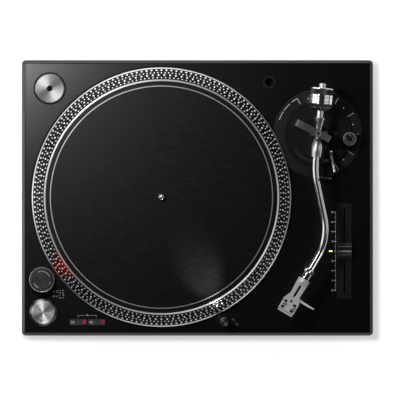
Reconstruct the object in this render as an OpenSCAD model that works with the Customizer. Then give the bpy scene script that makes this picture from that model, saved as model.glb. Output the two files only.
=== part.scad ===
// Direct drive DJ turntable: plinth, motor and platter, deck controls and S-shaped tonearm.
// Millimetres, +Z up, +Y to the back; the origin lies under the middle of the plinth, at the feet.

/* [Body] */
// Width of the plinth, left to right
body_w = 450; // [440:1:480]
// Depth of the plinth, front to back
body_d = 353; // [345:1:380]
// Height of the plinth above the base cover
deck_h = 46; // [44:1:56]
// Thickness of the top plate
deck_t = 5; // [4:0.5:6]
// Thickness of the plinth's side walls
deck_wall = 4; // [3:0.5:6]
// Radius of the plinth's upright corners
corner_r = 5; // [4:0.5:8]
// Width of the bevel round the top plate
edge_bevel = 3.5; // [2:0.5:3.8]
// Width of the seam line inside the bevel
seam_w = 0.8; // [0.5:0.1:1.2]
// Height of the base cover
base_h = 22; // [18:1:30]
// Wall and floor thickness of the base cover
base_t = 3; // [2:0.5:4]
// Step in from the plinth's side to the base cover's side
base_step = 2; // [1:0.5:3]
// Height of the feet
foot_h = 24; // [18:1:30]
// Radius of the feet
foot_r = 30; // [22:1:34]
// Distance of the feet from the plinth's sides
foot_inset = 50; // [40:1:60]
// Thickness of the rubber pads under the feet
pad_t = 5; // [3:0.5:7]

/* [Platter and motor] */
// Distance of the spindle from the plinth's left side
spindle_left = 179; // [177:1:185]
// Distance of the spindle from the plinth's front
spindle_front = 177.5; // [175:0.5:180]
// Radius of the platter
platter_r = 166; // [162:0.5:168]
// Height of the platter
platter_h = 14.5; // [13:0.5:17]
// Gap between the top plate and the platter
platter_gap = 2.5; // [2:0.1:3.5]
// Width of the groove in the top plate that shows round the platter
groove_w = 2.2; // [1.5:0.1:3]
// Thickness of the platter's disc
platter_t = 4; // [3:0.5:5]
// Outer radius of the platter's raised top ring
ring_r = 151; // [149:0.5:153]
// Width of the platter's raised top ring
ring_w = 3; // [2:0.5:4]
// Height of the ring above the mat's seat
ring_h = 1; // [0.5:0.1:1.5]
// Gap between the slipmat's edge and the ring
mat_gap = 0.5; // [0.5:0.1:6]
// Thickness of the slipmat
mat_t = 1.6; // [1:0.1:3]
// Radius of the spindle's pin, above the mat
pin_r = 3.55; // [3.5:0.01:3.6]
// Height of the spindle above the mat
pin_h = 11; // [8:0.5:14]
// Radius of the spindle's shaft in the bearing
shaft_r = 5; // [4:0.5:6]
// Radius of the stator board
stator_r = 60; // [56:1:62]
// Number of stator coils
coil_count = 9; // [6:3:12]
// Height of the rotor's magnet ring
magnet_h = 6.6; // [6:0.1:6.8]

/* [Deck controls] */
// Start button: distance from the left side
start_left = 27.3; // [26:0.1:32]
// Start button: distance from the front
start_front = 29.8; // [26:0.1:32]
// Radius of the start button
start_r = 15; // [13:0.5:16]
// Strobe tower: distance from the left side
tower_left = 26; // [24:0.5:26]
// Strobe tower: distance from the front
tower_front = 71.8; // [68:0.1:72]
// Radius of the strobe tower
tower_r = 14; // [12:0.5:15]
// Height of the strobe tower
tower_h = 12; // [10:0.5:16]
// Radius of the power knob
power_r = 16; // [15:0.5:16.5]
// Speed buttons: distance of the first from the left side
speed_left = 71.9; // [68:0.1:80]
// Speed buttons: distance from the front
speed_front = 17.3; // [14:0.1:20]
// Width of a speed button
speed_w = 21.8; // [18:0.1:22]
// Depth of a speed button
speed_d = 7.8; // [6:0.1:9]
// Spacing of the two speed buttons
speed_pitch = 23.8; // [23.6:0.1:26]
// Stylus lamp: distance to the right of the spindle
lamp_dx = 80.2; // [78:0.1:90]
// Stylus lamp: distance from the front
lamp_front = 17.8; // [15:0.1:20]
// Radius of the stylus lamp
lamp_r = 5.5; // [5:0.1:5.6]
// Height of the stylus lamp above the deck when popped up
lamp_h = 34; // [30:0.5:36]
// Length of the stylus lamp inside its sleeve when popped up
lamp_grip = 30; // [26:0.5:32]
// Distance from the lamp to its push button
lamp_pitch = 14.1; // [14:0.1:18]
// Radius of the lamp's push button
lamp_button_r = 5.8; // [5:0.1:5.9]
// 45 adaptor: distance from the left side
adaptor_left = 35.7; // [32:0.1:40]
// 45 adaptor: distance from the back
adaptor_back = 36.3; // [32:0.1:40]
// Radius of the 45 adaptor
adaptor_r = 19; // [18.5:0.1:19.5]
// Height of the 45 adaptor
adaptor_h = 10.5; // [9:0.5:13]
// Headshell stand: distance from the right side
stand_right = 133.1; // [125:0.1:140]
// Headshell stand: distance from the back
stand_back = 28.2; // [27:0.1:34]
// Radius of the headshell stand's bore, for the plug end of a headshell
stand_bore_r = 4.1; // [4.05:0.01:4.3]
// Pitch fader: distance from the right side
pitch_right = 36.5; // [34:0.1:40]
// Pitch fader: distance of its middle from the front
pitch_front = 108.3; // [105:0.1:112]
// Length of the pitch panel
pitch_len = 122; // [118:1:130]
// Width of the pitch panel
pitch_w = 17.6; // [16:0.1:20]
// Travel of the fader each way from its middle
pitch_travel = 50; // [40:1:50]
// Width of the fader's slot
slot_w = 2.6; // [2.4:0.1:4]

/* [Tonearm] */
// Arm pivot: distance to the right of the spindle
pivot_dx = 200; // [198:0.1:203]
// Arm pivot: distance behind the spindle
pivot_dy = 81; // [79:0.1:84]
// Angle of the resting arm from the front, to the left
arm_angle = 5.14; // [3:0.01:7]
// Height of the arm's axis above the deck
arm_z = 43; // [42:0.1:46]
// Radius of the arm base plate
arm_plate_r = 56.4; // [54:0.1:58]
// Outer radius of the height ring
height_r = 43; // [42:0.1:46]
// Rise of the arm at half a turn of the height ring
height_rise = 6; // [3:0.5:6]
// Radius of the arm's tube
tube_r = 4.2; // [3.8:0.1:4.4]
// Length of the arm's first straight, pivot to first bend
leg_1 = 49.8; // [48:0.1:54]
// Length between the two bends
leg_2 = 85.9; // [80:0.1:92]
// Length from the second bend to the locking collar
leg_3 = 45.6; // [42:0.1:50]
// Angle of the first bend, to the right
bend_1 = 16.94; // [14:0.01:20]
// Angle of the second bend, to the left
bend_2 = 42.3; // [38:0.01:46]
// Radius of the first bend
bend_1_r = 110; // [60:1:110]
// Radius of the second bend
bend_2_r = 70; // [40:1:80]
// Length of the locking collar
lock_len = 15; // [12:0.5:18]
// Radius of the locking collar
lock_r = 5.65; // [5.4:0.05:6.2]
// Length of the headshell
shell_len = 50; // [48:0.5:54]
// Thickness of the headshell's plate
shell_t = 4; // [3:0.1:4.5]
// Drop from the headshell's underside to the stylus tip
stylus_drop = 15.5; // [15:0.1:16]
// Distance of the stylus from the locking collar
stylus_u = 46.9; // [45:0.1:48]
// Radius of the counterweight
weight_r = 14.85; // [13:0.05:16]
// Radius of the anti-skate knob
skate_r = 8.9; // [7:0.1:9.4]

/* [Rear connectors] */
// Width of the connector pocket
rear_w = 180; // [176:1:200]
// Height of the connector pocket
rear_h = 28; // [26:1:29]
// Depth of the connector pocket
rear_depth = 14; // [12:0.5:14]
// Radius of an RCA jack's shell
rca_r = 4.15; // [4.1:0.01:4.2]
// Length of an RCA jack's shell
rca_len = 9; // [8:0.5:10]

/* [Fits] */
// Radial clearance of a running or sliding fit
run_fit = 0.05; // [0.02:0.01:0.09]
// Gap between pieces that move past each other
move_gap = 0.3; // [0.25:0.05:0.5]
// Radial clearance round a piece that is set into a hole
seat_gap = 0.1; // [0.05:0.05:0.2]

/* [Hidden] */
$fn = 72;
// Overrun of a cut past the face that it opens
over = 1;

// Levels
base_z = foot_h;
floor_z = base_z + base_t;
deck_z0 = base_z + base_h;
deck_z = deck_z0 + deck_h;
under_z = deck_z - deck_t;

// Places on the deck
left_x = -body_w / 2;
front_y = -body_d / 2;
spindle_p = [left_x + spindle_left, front_y + spindle_front];
start_p = [left_x + start_left, front_y + start_front];
tower_p = [left_x + tower_left, front_y + tower_front];
speed_p = [left_x + speed_left, front_y + speed_front];
lamp_p = [spindle_p.x + lamp_dx, front_y + lamp_front];
lamp_button_p = lamp_p + [lamp_pitch, 0];
adaptor_p = [left_x + adaptor_left, -front_y - adaptor_back];
stand_p = [-left_x - stand_right, -front_y - stand_back];
pitch_p = [-left_x - pitch_right, front_y + pitch_front];
pitch_lamp_p = pitch_p - [pitch_w, 0];
pivot_p = spindle_p + [pivot_dx, pivot_dy];

// Base: screws and their posts
post_r = 6;
screw_r = 2.5;
screw_head_r = 4.5;
screw_head_h = 3;
screw_bite = 14;
counterbore_h = 6;
seam_in = 0.4;
seam_depth = 0.6;
seam_corner_r = max(corner_r - edge_bevel - seam_in, seam_in);
base_w = body_w - 2 * base_step;
base_d = body_d - 2 * base_step;
post_inset = [9, 14];
post_places = [for (x = [-1, 1], y = [-1, 1]) [x * (body_w / 2 - post_inset.x), y * (body_d / 2 - post_inset.y)]];
foot_bevel = 2;
foot_neck_h = 6;
foot_neck_in = 3;
pad_bevel = 1;
foot_places = [for (x = [-1, 1], y = [-1, 1]) [x * (body_w / 2 - foot_inset), y * (body_d / 2 - foot_inset)]];

// Platter and motor
platter_z = deck_z + platter_gap;
groove_under = 2;
groove_floor = 2;
mat_z = platter_z + platter_h - ring_h;
mat_top = mat_z + mat_t;
hub_drop = 5;
hub_z = mat_z - platter_t - hub_drop;
hub_r = 8;
hub_flange_r = 14;
hub_flange_t = 2.5;
magnet_seat_r = 56;
magnet_in_r = 28;
magnet_out_r = 52;
mat_r = ring_r - ring_w - mat_gap;
rim_in = 8.5;
rim_in_r = (ring_r + platter_r) / 2 - rim_in;
rim_lip = 2.2;
rim_lip_bevel = 1.2;
pin_step = 0.2;
pin_collar_r = pin_r + pin_step;
pin_tip_h = 2;
motor_open_r = stator_r + 4;
motor_frame_r = motor_open_r + 12;
motor_frame_t = 4;
board_t = 1.6;
coil_r = 9;
coil_hole_r = 3.5;
coil_h = 3;
coil_ring_r = (magnet_in_r + magnet_out_r) / 2;
bearing_r = 14;
bearing_flange_r = 20;
bearing_flange_t = 4;
bearing_floor = 4;
bearing_z0 = deck_z0 + 6;
thrust_z = bearing_z0 + bearing_floor;
bearing_top = deck_z;

// Controls
bezel_w = 2.5;
bezel_h = 2;
bezel_sleeve = 1;
start_h = 4.5;
start_bevel = 1;
start_travel = 1.5;
speed_h = 1.6;
speed_flange = [0.6, 1.5];
button_flange_t = 2;
stem_r = 3;
tower_stem_r = 8;
tower_stem_len = 12;
power_h = 8;
power_bevel = 2.4;
power_stem_r = 5;
power_stem_len = 16;
lens_w = 12;
lens_h = 7;
lens_t = 3;
lens_up = 3;
lens_z = deck_z + lens_up;
strobe_angle = atan2(spindle_p.y - tower_p.y, spindle_p.x - tower_p.x);
lamp_angle = 113;
lamp_len = lamp_h + lamp_grip;
lamp_lens_w = 7;
lamp_lens_h = 9;
lamp_lens_t = 1.5;
lamp_lens_drop = 3;
sleeve_wall = 1.35;
escutcheon_r = 9.5;
escutcheon_t = 1.2;
lamp_button_h = 3;
lamp_button_flange = 1;
board_drop = 17;
board_z = under_z - board_drop;
switch_h = 5;
switch_w = 7;
board_margin = 13;
pitch_panel_t = 0.8;
slot_spare = 5;
slot_gap = 1;
slot_len = 2 * (pitch_travel + slot_spare);
stem_w = slot_w - 2 * move_gap;
stem_len = 8;
fader_len = 22;
fader_h = 9.5;
fader_shoulder = 3.8;
fader_crest = 6.16;
fader_saddle = 7.6;
fader_saddle_w = 2.4;
fader_gap = 0.5;
track_h = 12;
track_w = 14;
track_floor = 3;
window_w = 4.5;
window_d = 1.6;
window_h = 4.3;
window_up = 0.3;
well_gap = 1.7;
well_r = adaptor_r + well_gap;
well_wall = 2.3;
well_depth = 9;
adaptor_bore_r = 3.65;
adaptor_bevel = 1.2;
stand_r = 6.6;
stand_len = 20;
stand_floor = 2;
stand_flange_r = 7.6;
stand_flange_t = 0.5;
stand_funnel_r = 6.2;
stand_funnel_h = 3;

bezel_below = 2;
bezel_bottom = under_z - bezel_below;
button_bottom = board_z + board_t + switch_h + start_travel + move_gap;
speed_lamp_in = 2.7;
speed_lamp_w = 5.8;
speed_lamp_d = 4.5;
speed_lamp_depth = 1;
board_gap = 4;
board_post_in = [6, 5];
board_x0 = left_x + deck_wall + board_gap;
board_y0 = front_y + deck_wall + board_gap;
board_x1 = speed_p.x + speed_pitch + speed_w / 2 + board_margin;
board_y1 = start_p.y + start_r + board_margin;
board_posts = [
    [board_x0 + board_post_in.x, board_y1 - board_post_in.y], [board_x1 - board_post_in.x, board_y1 - board_post_in.y],
    [board_x1 - board_post_in.x, board_y0 + board_post_in.y],
    [start_p.x + start_r + switch_w, board_y0 + board_post_in.y]
];
supply_in = [75, 66.5];
supply_p = [left_x + supply_in.x, -front_y - supply_in.y];
supply_size = [90, 70];
supply_stand = 6;
supply_leg_in = 5;
transformer_size = [40, 36, 24];
transformer_in = [8, 10];
capacitor_r = 9;
capacitor_h = 20;
capacitor_x = 20;
capacitor_gap = 24;
capacitor_y = -14;

// Tonearm: levels, then sizes along the arm, measured from the pivot
axis_z = deck_z + arm_z;
arm_plate_t = 1.2;
arm_plate_z = deck_z + arm_plate_t;
guide_r = 30;
guide_wall = 3;
guide_h = 3.8;
guide_grip = 16;
guide_depth = height_rise + guide_grip;
piston_short = 2;
guide_top = arm_plate_z + guide_h;
step_gap = 0.2;
ring_z = arm_plate_z + step_gap;
height_ring_h = 6.4;
height_rim = 3.4;
height_web = 2.6;
height_bevel = 1;
platform_gap = 0.6;
platform_r = height_r - height_rim - platform_gap;
platform_t = 3.8;
platform_z = guide_top + step_gap;
platform_top = platform_z + platform_t;
outrigger_t = 3.6;
outrigger_z = ring_z + height_ring_h + platform_gap;
outrigger_top = outrigger_z + outrigger_t;
outrigger_lap = 4;
column_r = 10;
gimbal_r = 12;
gimbal_wall = 2.8;
gimbal_w = 8;
column_gap = 4;
column_top = axis_z - gimbal_r - column_gap;
low_pin_r = 2;
low_pin_len = 9;
high_pin_r = 1.6;
high_pin_len = 3;
trunnion_r = 1.5;
trunnion_len = 10.8;
bridge_angle = 153;
bridge_w = 8.9;
bridge_long = 31.2;
bridge_short = 17;
bridge_leg = 5;
bridge_leg_short = 3.8;
bridge_t = 3.5;
bridge_gap = 0.5;
bridge_z = axis_z + gimbal_r + bridge_gap;
nut_r = 4;
nut_h = 1.5;
barrel_end = 29.9;
barrel_r = 6.85;
barrel_tip_r = 6.1;
barrel_belly = 20;
barrel_flare_r = 5.7;
barrel_flare = 11.5;
barrel_neck_r = 3.6;
barrel_root = 5;
rear_collar_r = 6.4;
rear_collar_0 = 6;
rear_collar_1 = 20.2;
rear_shaft_r = 4.15;
rear_shaft_end = 64.1;
tube_grip = 6;
bush_r = 7;
dial_0 = 29.3;
dial_1 = 37.3;
dial_r = 15.3;
dial_tip_r = 10;
weight_0 = 37.6;
weight_1 = 58.2;
band_0 = 49.3;
band_1 = 57;
band_groove = 0.4;
rest_u = 50;
rest_x = 1.5;
rest_w = 18;
rest_d = 8;
rest_gap = 1.7;
rest_top = axis_z - tube_r - rest_gap;
rest_wall = 3;
hinge_out = 8;
hinge_up = 2.4;
hinge_cheek = 2;
hinge_x = rest_x + hinge_out;
hinge_z = rest_top + hinge_up;
hinge_r = 1.25;
knuckle_r = 2.6;
clip_d = 2.6;
clip_gap = 1.5;
clip_t = 1.8;
clip_open = 100;
skate_x = 40.4;
skate_y = -6.6;
skate_box_x = 18.5;
skate_box_w = 19.5;
skate_box_end = 50;
skate_box_h = 10;
skate_h = 6.5;
skate_stem_r = 2.5;
skate_stem_len = 7;
lift_r = 36;
lift_w = 4;
lift_t = 4;
lift_gap = 2.3;
lift_angle_0 = -145;
lift_top = axis_z - tube_r - lift_gap;
lift_post_x = 11;
lift_post_lap = 4;
lift_post_r = 2;
lift_post_len = 17.5;
lift_angle_1 = -acos(lift_post_x / lift_r);
lift_post_p = lift_r * [cos(lift_angle_1), sin(lift_angle_1)];
cue_box = [7, 17];
cue_box_x = 7.5;
cue_box_y = -37.5;
cue_box_h = 12;
cue_y = -24.5;
cue_up = 8;
cue_z = platform_top + cue_up;
cue_pin_r = 1.5;
cue_hub_r = 3.6;
cue_hub_w = 3.4;
cue_rod_r = 1.5;
cue_len = 28;
cue_rise = 25;
cue_splay = 11;
cue_pin_len = 6;
clip_r = tube_r + clip_gap;
clip_offset = 0.8;
clip_root = 1;
clip_centre = [rest_x + clip_offset - hinge_x, axis_z - hinge_z];
tangent_1 = bend_1_r * tan(bend_1 / 2);
tangent_2 = bend_2_r * tan(bend_2 / 2);
plug_r = tube_r;
plug_len = 8;
lock_bead = 0.6;
lock_bead_0 = 1.5;
lock_bead_1 = 5;

// Path of the tube in the frame of the resting arm: stops of [place, heading], heading 0 straight ahead
tube_sides = 24;
bend_1_stops = 8;
bend_2_stops = 14;
function ahead(a) = [sin(a), -cos(a)];
function right(a) = [cos(a), sin(a)];
bend_1_p = leg_1 * ahead(0);
bend_2_p = bend_1_p + leg_2 * ahead(bend_1);
bend_1_centre = bend_1_p - tangent_1 * ahead(0) + bend_1_r * right(0);
bend_2_centre = bend_2_p - tangent_2 * ahead(bend_1) - bend_2_r * right(bend_1);
tube_path = concat(
    [[(barrel_end - tube_grip) * ahead(0), 0]],
    [for (i = [0 : bend_1_stops]) let (a = i * bend_1 / bend_1_stops) [bend_1_centre - bend_1_r * right(a), a]],
    [for (i = [0 : bend_2_stops]) let (a = bend_1 - i * bend_2 / bend_2_stops)
        [bend_2_centre + bend_2_r * right(a), a]],
    [[bend_2_p + (leg_3 + lock_len - plug_len) * ahead(bend_1 - bend_2), bend_1 - bend_2]]
);

// Headshell: u runs from the locking collar to the front, v to the right
shell_up = 0.5;
shell_top = axis_z + shell_up;
shell_bottom = shell_top - shell_t;
shell_neck_r = 5.2;
shell_neck_len = 6;
shell_rear_w = 15.5;
shell_waist_w = 13.6;
shell_front_w = 21.5;
shell_tip_w = 19.5;
shell_waist_u = 23;
shell_flare_u = 32;
shell_tip_len = 3;
shell_groove_in = 2.5;
shell_groove_w = 0.8;
shell_groove_depth = 0.5;
shell_slot_u = 9;
shell_slot_len = 18;
shell_slot_w = 3.1;
shell_hole_u = 32.5;
shell_hole_r = 1.7;
mount_u = 39.5;
mount_v = 6.5;
mount_len = 12;
mount_w = 4.5;
mount_screw_r = 1.2;
mount_head_r = 2.9;
mount_head_h = 1.5;
lift_tab_u = 27;
lift_tab_t = 1;
lift_tab_w = 5;
finger_len = 19.4;
finger_r = 1.5;
finger_tip_r = 0.8;
cartridge_w = 15;
cartridge_u0 = 31;
cartridge_u1 = 47;
cartridge_h = 10.5;
cartridge_ear_h = 4;
cartridge_ear_w = 17.5;
cartridge_ear_d = 8;
mount_screw_spare = 0.5;
stylus_block = [8, 12, 2.5];
stylus_nose = 1;
stylus_tip_r = 0.15;
stylus_root_r = 0.9;
stylus_top = shell_bottom - cartridge_h;
stylus_tip = shell_bottom - stylus_drop;

// Rear connectors, by distance from the pocket's middle; the outer ones keep their distance from its ends
rear_x = 60;
rear_t = 2;
rear_z = deck_z0 + 6;
rear_in_y = body_d / 2 - deck_wall;
rear_face_y = rear_in_y - rear_depth + rear_t;
jack_z = rear_z + rear_h / 2;
rca_in = [28, 14];
rca_x = [for (d = rca_in) rear_w / 2 - d];
rca_root = 4;
rca_flange_r = 6;
rca_flange_t = 1;
rca_bore_r = 1.6;
ground_in = 44;
ground_x = rear_w / 2 - ground_in;
ground_post_r = 2;
ground_post_len = 9;
ground_nut_r = 5.5;
ground_nut_len = 5;
switch_in = 64;
switch_x = rear_w / 2 - switch_in;
switch_slot = [9, 4];
switch_knob = 4;
switch_travel = 4;
switch_out = 3;
switch_flange = 4;
switch_flange_t = 3;
socket_flange = 1.5;
socket_flange_t = 1;
usb_x = 4;
usb_size = [12, 11];
usb_wall = 1.2;
usb_len = 14;
inlet_in = 32;
inlet_x = inlet_in - rear_w / 2;
inlet_size = [30, 23];
inlet_wall = 2.5;
inlet_len = 18;
inlet_blade = [1.8, 4];
inlet_blade_gap = 7;
inlet_blade_end = 6;

// Shared shapes

// Flat rectangle with round corners, centred
module round_rect(w, d, r) {
    square([w, d - 2 * r], center = true);
    square([w - 2 * r, d], center = true);
    for (x = [-1, 1], y = [-1, 1])
        translate([x * (w / 2 - r), y * (d / 2 - r)]) circle(r);
}

// Upright block with round corners, standing on z
module round_block(w, d, h, r, z) {
    translate([0, 0, z]) linear_extrude(h) round_rect(w, d, r);
}

// Frustum of a rectangle's long sides: length along X, slope on the two Y sides
module roof(len, d, h) {
    rotate([90, 0, 90])
        translate([0, 0, -len / 2])
            linear_extrude(len) polygon([[-d / 2, 0], [d / 2, 0], [d / 2 - h, h], [h - d / 2, h]]);
}

// Block with round corners and a bevel of 45 degrees round its top
module bevelled_block(w, d, h, r, bevel, z) {
    round_block(w, d, h - bevel, r, z);
    translate([0, 0, z + h - bevel]) {
        roof(w - 2 * r, d, bevel);
        rotate(90) roof(d - 2 * r, w, bevel);
        for (x = [-1, 1], y = [-1, 1])
            translate([x * (w / 2 - r), y * (d / 2 - r), 0]) cylinder(r1 = r, r2 = r - bevel, h = bevel);
    }
}

// Upright cylinder at a place on the deck, from level z0 to level z1
module rod(p, r, z0, z1) {
    translate([p.x, p.y, z0]) cylinder(r = r, h = z1 - z0);
}

// Centred block at a place on the deck, from level z0 to level z1
module bar(p, w, d, z0, z1) {
    translate([p.x - w / 2, p.y - d / 2, z0]) cube([w, d, z1 - z0]);
}

// Oblong slot with round ends along X, from level z0 to level z1
module oblong(len, w, z0, z1) {
    translate([0, 0, z0]) linear_extrude(z1 - z0) {
        square([len - w, w], center = true);
        for (s = [-1, 1]) translate([s * (len - w) / 2, 0]) circle(w / 2);
    }
}

// Body

// Groove in the top plate that the platter's rim hangs over
module platter_groove() translate([spindle_p.x, spindle_p.y, under_z + groove_floor]) rotate_extrude()
    translate([platter_r - groove_under, 0]) square([groove_under + groove_w, deck_t - groove_floor + over]);

// Seam line that runs round the top plate, just inside its bevel
module seam() {
    inset = 2 * (edge_bevel + seam_in);
    difference() {
        round_block(body_w - inset, body_d - inset, seam_depth + over, seam_corner_r, deck_z - seam_depth);
        bar([0, 0], body_w - inset - 2 * seam_w, body_d - inset - 2 * seam_w, deck_z - seam_depth - over,
            deck_z + 2 * over);
    }
}

module plinth() color("#141416") difference() {
    union() {
        difference() {
            bevelled_block(body_w, body_d, deck_h, corner_r, edge_bevel, deck_z0);
            bar([0, 0], body_w - 2 * deck_wall, body_d - 2 * deck_wall, deck_z0 - over, under_z);
        }
        for (p = post_places) rod(p, post_r, deck_z0, under_z);
        for (p = board_posts) rod(p, stem_r, board_z + board_t, under_z);
        rod(adaptor_p, well_r + well_wall, deck_z - well_depth - well_wall, under_z);
    }
    for (p = post_places) rod(p, screw_r + run_fit, deck_z0 - over, deck_z0 + screw_bite + over);
    rod(adaptor_p, well_r, deck_z - well_depth, deck_z + over);
    rod(spindle_p, motor_open_r, under_z - over, deck_z + over);
    rod(tower_p, tower_stem_r + seat_gap, under_z - over, deck_z + over);
    rod(start_p, start_r + move_gap + bezel_sleeve + seat_gap, under_z - over, deck_z + over);
    for (i = [0, 1])
        bar(speed_p + [i * speed_pitch, 0], speed_w + 2 * move_gap, speed_d + 2 * move_gap,
            under_z - over, deck_z + over);
    rod(lamp_p, lamp_r + run_fit + sleeve_wall + seat_gap, under_z - over, deck_z + over);
    rod(lamp_button_p, lamp_button_r + move_gap, under_z - over, deck_z + over);
    rod(stand_p, stand_r + run_fit, under_z - over, deck_z + over);
    bar(pitch_p, slot_w + 2 * slot_gap, slot_len + 2 * slot_gap, under_z - over, deck_z + over);
    bar(pitch_lamp_p, window_w + 2 * seat_gap, window_d + 2 * seat_gap, under_z - over, deck_z + over);
    rod(pivot_p, guide_r + guide_wall + run_fit + seat_gap, deck_z - guide_depth - seat_gap, deck_z + over);
    translate([rear_x - rear_w / 2, rear_in_y - over, rear_z]) cube([rear_w, deck_wall + 2 * over, rear_h]);
    platter_groove();
    seam();
}

module base_cover() color("#1c1c1e") difference() {
    union() {
        difference() {
            round_block(base_w, base_d, base_h, corner_r, base_z);
            bar([0, 0], base_w - 2 * base_t, base_d - 2 * base_t, floor_z, deck_z0 + over);
        }
        for (p = post_places) rod(p, post_r, base_z, deck_z0);
    }
    for (p = post_places) {
        rod(p, screw_r + run_fit, base_z - over, deck_z0 + over);
        rod(p, screw_head_r + move_gap, base_z - over, base_z + counterbore_h);
    }
}

module base_screws() color("silver") for (p = post_places) {
    rod(p, screw_r, base_z + counterbore_h, deck_z0 + screw_bite);
    rod(p, screw_head_r, base_z + counterbore_h - screw_head_h, base_z + counterbore_h);
}

module feet() color("#26262a") for (p = foot_places)
    translate([p.x, p.y, 0]) rotate_extrude()
        polygon([[0, pad_t], [foot_r - foot_bevel, pad_t], [foot_r, pad_t + foot_bevel], [foot_r, foot_h - foot_neck_h],
                 [foot_r - foot_neck_in, foot_h - foot_neck_h], [foot_r - foot_neck_in, foot_h], [0, foot_h]]);

module foot_pads() color("#0e0e0e") for (p = foot_places)
    translate([p.x, p.y, 0]) rotate_extrude()
        polygon([[foot_r / 2, 0], [foot_r - foot_neck_in - pad_bevel, 0], [foot_r - foot_neck_in, pad_bevel],
                 [foot_r - foot_neck_in, pad_t], [foot_r / 2, pad_t]]);

// Rear connectors

// Cylinder along +Y from the pocket's face, at a distance x from the pocket's middle
module rear_rod(x, r, y0, y1) {
    translate([rear_x + x, rear_face_y + y0, jack_z]) rotate([-90, 0, 0]) cylinder(r = r, h = y1 - y0);
}

// Block along +Y from the pocket's face, centred on the jacks' level
module rear_bar(x, size, y0, y1) {
    translate([rear_x + x - size.x / 2, rear_face_y + y0, jack_z - size.y / 2]) cube([size.x, y1 - y0, size.y]);
}

module rear_panel() color("#19191b") {
    difference() {
        translate([rear_x - rear_w / 2 - rear_t, rear_in_y - rear_depth, rear_z - rear_t])
            cube([rear_w + 2 * rear_t, rear_depth, rear_h + 2 * rear_t]);
        translate([rear_x - rear_w / 2, rear_face_y, rear_z]) cube([rear_w, rear_depth + over, rear_h]);
        for (x = rca_x) rear_rod(x, rca_r + seat_gap, -rear_t - over, over);
        rear_bar(switch_x, switch_slot, -rear_t - over, over);
        rear_bar(usb_x, usb_size + [2, 2] * seat_gap, -rear_t - over, over);
        rear_bar(inlet_x, inlet_size + [2, 2] * seat_gap, -rear_t - over, over);
    }
    rear_rod(ground_x, ground_post_r, 0, ground_post_len);
}

module rca_jacks() color("gold") for (x = rca_x) difference() {
    union() {
        rear_rod(x, rca_r, -rear_t - rca_root, rca_len + rca_flange_t);
        rear_rod(x, rca_flange_r, 0, rca_flange_t);
    }
    rear_rod(x, rca_bore_r, rca_flange_t, rca_len + rca_flange_t + over);
}

module ground_nut() color("silver") difference() {
    rear_rod(ground_x, ground_nut_r, move_gap, move_gap + ground_nut_len);
    rear_rod(ground_x, ground_post_r + run_fit, -over, ground_post_len + over);
}

module line_switch() color("#303034") {
    x = switch_x - switch_travel / 2;
    rear_bar(x, [switch_knob, switch_slot.y - 2 * move_gap], -rear_t - move_gap, switch_out);
    rear_bar(x, [switch_knob, switch_slot.y + switch_flange], -rear_t - move_gap - switch_flange_t, -rear_t - move_gap);
}

// Hollow socket body with a flange on the pocket's face
module socket(x, size, wall, len) {
    difference() {
        union() {
            rear_bar(x, size, rear_t - len, socket_flange_t);
            rear_bar(x, size + [2, 2] * socket_flange, 0, socket_flange_t);
        }
        rear_bar(x, size - [2, 2] * wall, rear_t - len + wall, socket_flange_t + over);
    }
}

module usb_port() color("silver") {
    socket(usb_x, usb_size, usb_wall, usb_len);
}

module ac_inlet() color("#101012") {
    socket(inlet_x, inlet_size, inlet_wall, inlet_len);
    for (i = [-1, 0, 1])
        rear_bar(inlet_x + i * inlet_blade_gap, inlet_blade, rear_t - inlet_len + inlet_wall, -inlet_blade_end);
}

// Drive

module motor_frame() color("#8a8d90") difference() {
    rod(spindle_p, motor_frame_r, under_z - motor_frame_t, under_z);
    rod(spindle_p, bearing_r + seat_gap, under_z - motor_frame_t - over, under_z + over);
}

module bearing_housing() color("#b08d4a") difference() {
    union() {
        rod(spindle_p, bearing_r, bearing_z0, bearing_top);
        rod(spindle_p, bearing_flange_r, under_z - motor_frame_t - bearing_flange_t, under_z - motor_frame_t);
    }
    rod(spindle_p, shaft_r + run_fit, thrust_z, bearing_top + over);
}

module stator_board() color("#1d5c34") difference() {
    rod(spindle_p, stator_r, under_z, under_z + board_t);
    rod(spindle_p, bearing_r + move_gap, under_z - over, under_z + board_t + over);
}

module stator_coils() color("#b8692e") for (i = [0 : coil_count - 1])
    translate([spindle_p.x, spindle_p.y, under_z + board_t]) rotate(i * 360 / coil_count)
        translate([coil_ring_r, 0, 0]) difference() {
            cylinder(r = coil_r, h = coil_h);
            translate([0, 0, -over]) cylinder(r = coil_hole_r, h = coil_h + 2 * over);
        }

module spindle() color("#d8d8da") translate([spindle_p.x, spindle_p.y, 0]) rotate_extrude()
    polygon([[0, thrust_z], [shaft_r, thrust_z], [shaft_r, hub_z - hub_flange_t],
             [hub_flange_r, hub_z - hub_flange_t], [hub_flange_r, hub_z], [hub_r, hub_z], [hub_r, mat_z],
             [pin_collar_r, mat_z], [pin_collar_r, mat_top], [pin_r, mat_top], [pin_r, mat_top + pin_h - pin_tip_h],
             [pin_r * 0.6, mat_top + pin_h - pin_tip_h * 0.25], [0, mat_top + pin_h]]);

module rotor_magnet() color("#3a3a3e") difference() {
    rod(spindle_p, magnet_out_r, hub_z - magnet_h, hub_z);
    rod(spindle_p, magnet_in_r, hub_z - magnet_h - over, hub_z + over);
}

module platter() color("#a9abae") translate([spindle_p.x, spindle_p.y, 0]) rotate_extrude()
    polygon([[hub_r + run_fit, hub_z], [magnet_seat_r, hub_z], [magnet_seat_r, mat_z - platter_t],
             [rim_in_r, mat_z - platter_t], [rim_in_r, platter_z], [platter_r, platter_z],
             [platter_r, platter_z + rim_lip], [platter_r - rim_lip_bevel, platter_z + rim_lip + rim_lip_bevel],
             [ring_r, mat_z + ring_h], [ring_r - ring_w, mat_z + ring_h], [ring_r - ring_w, mat_z],
             [hub_r + run_fit, mat_z]]);

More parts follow.
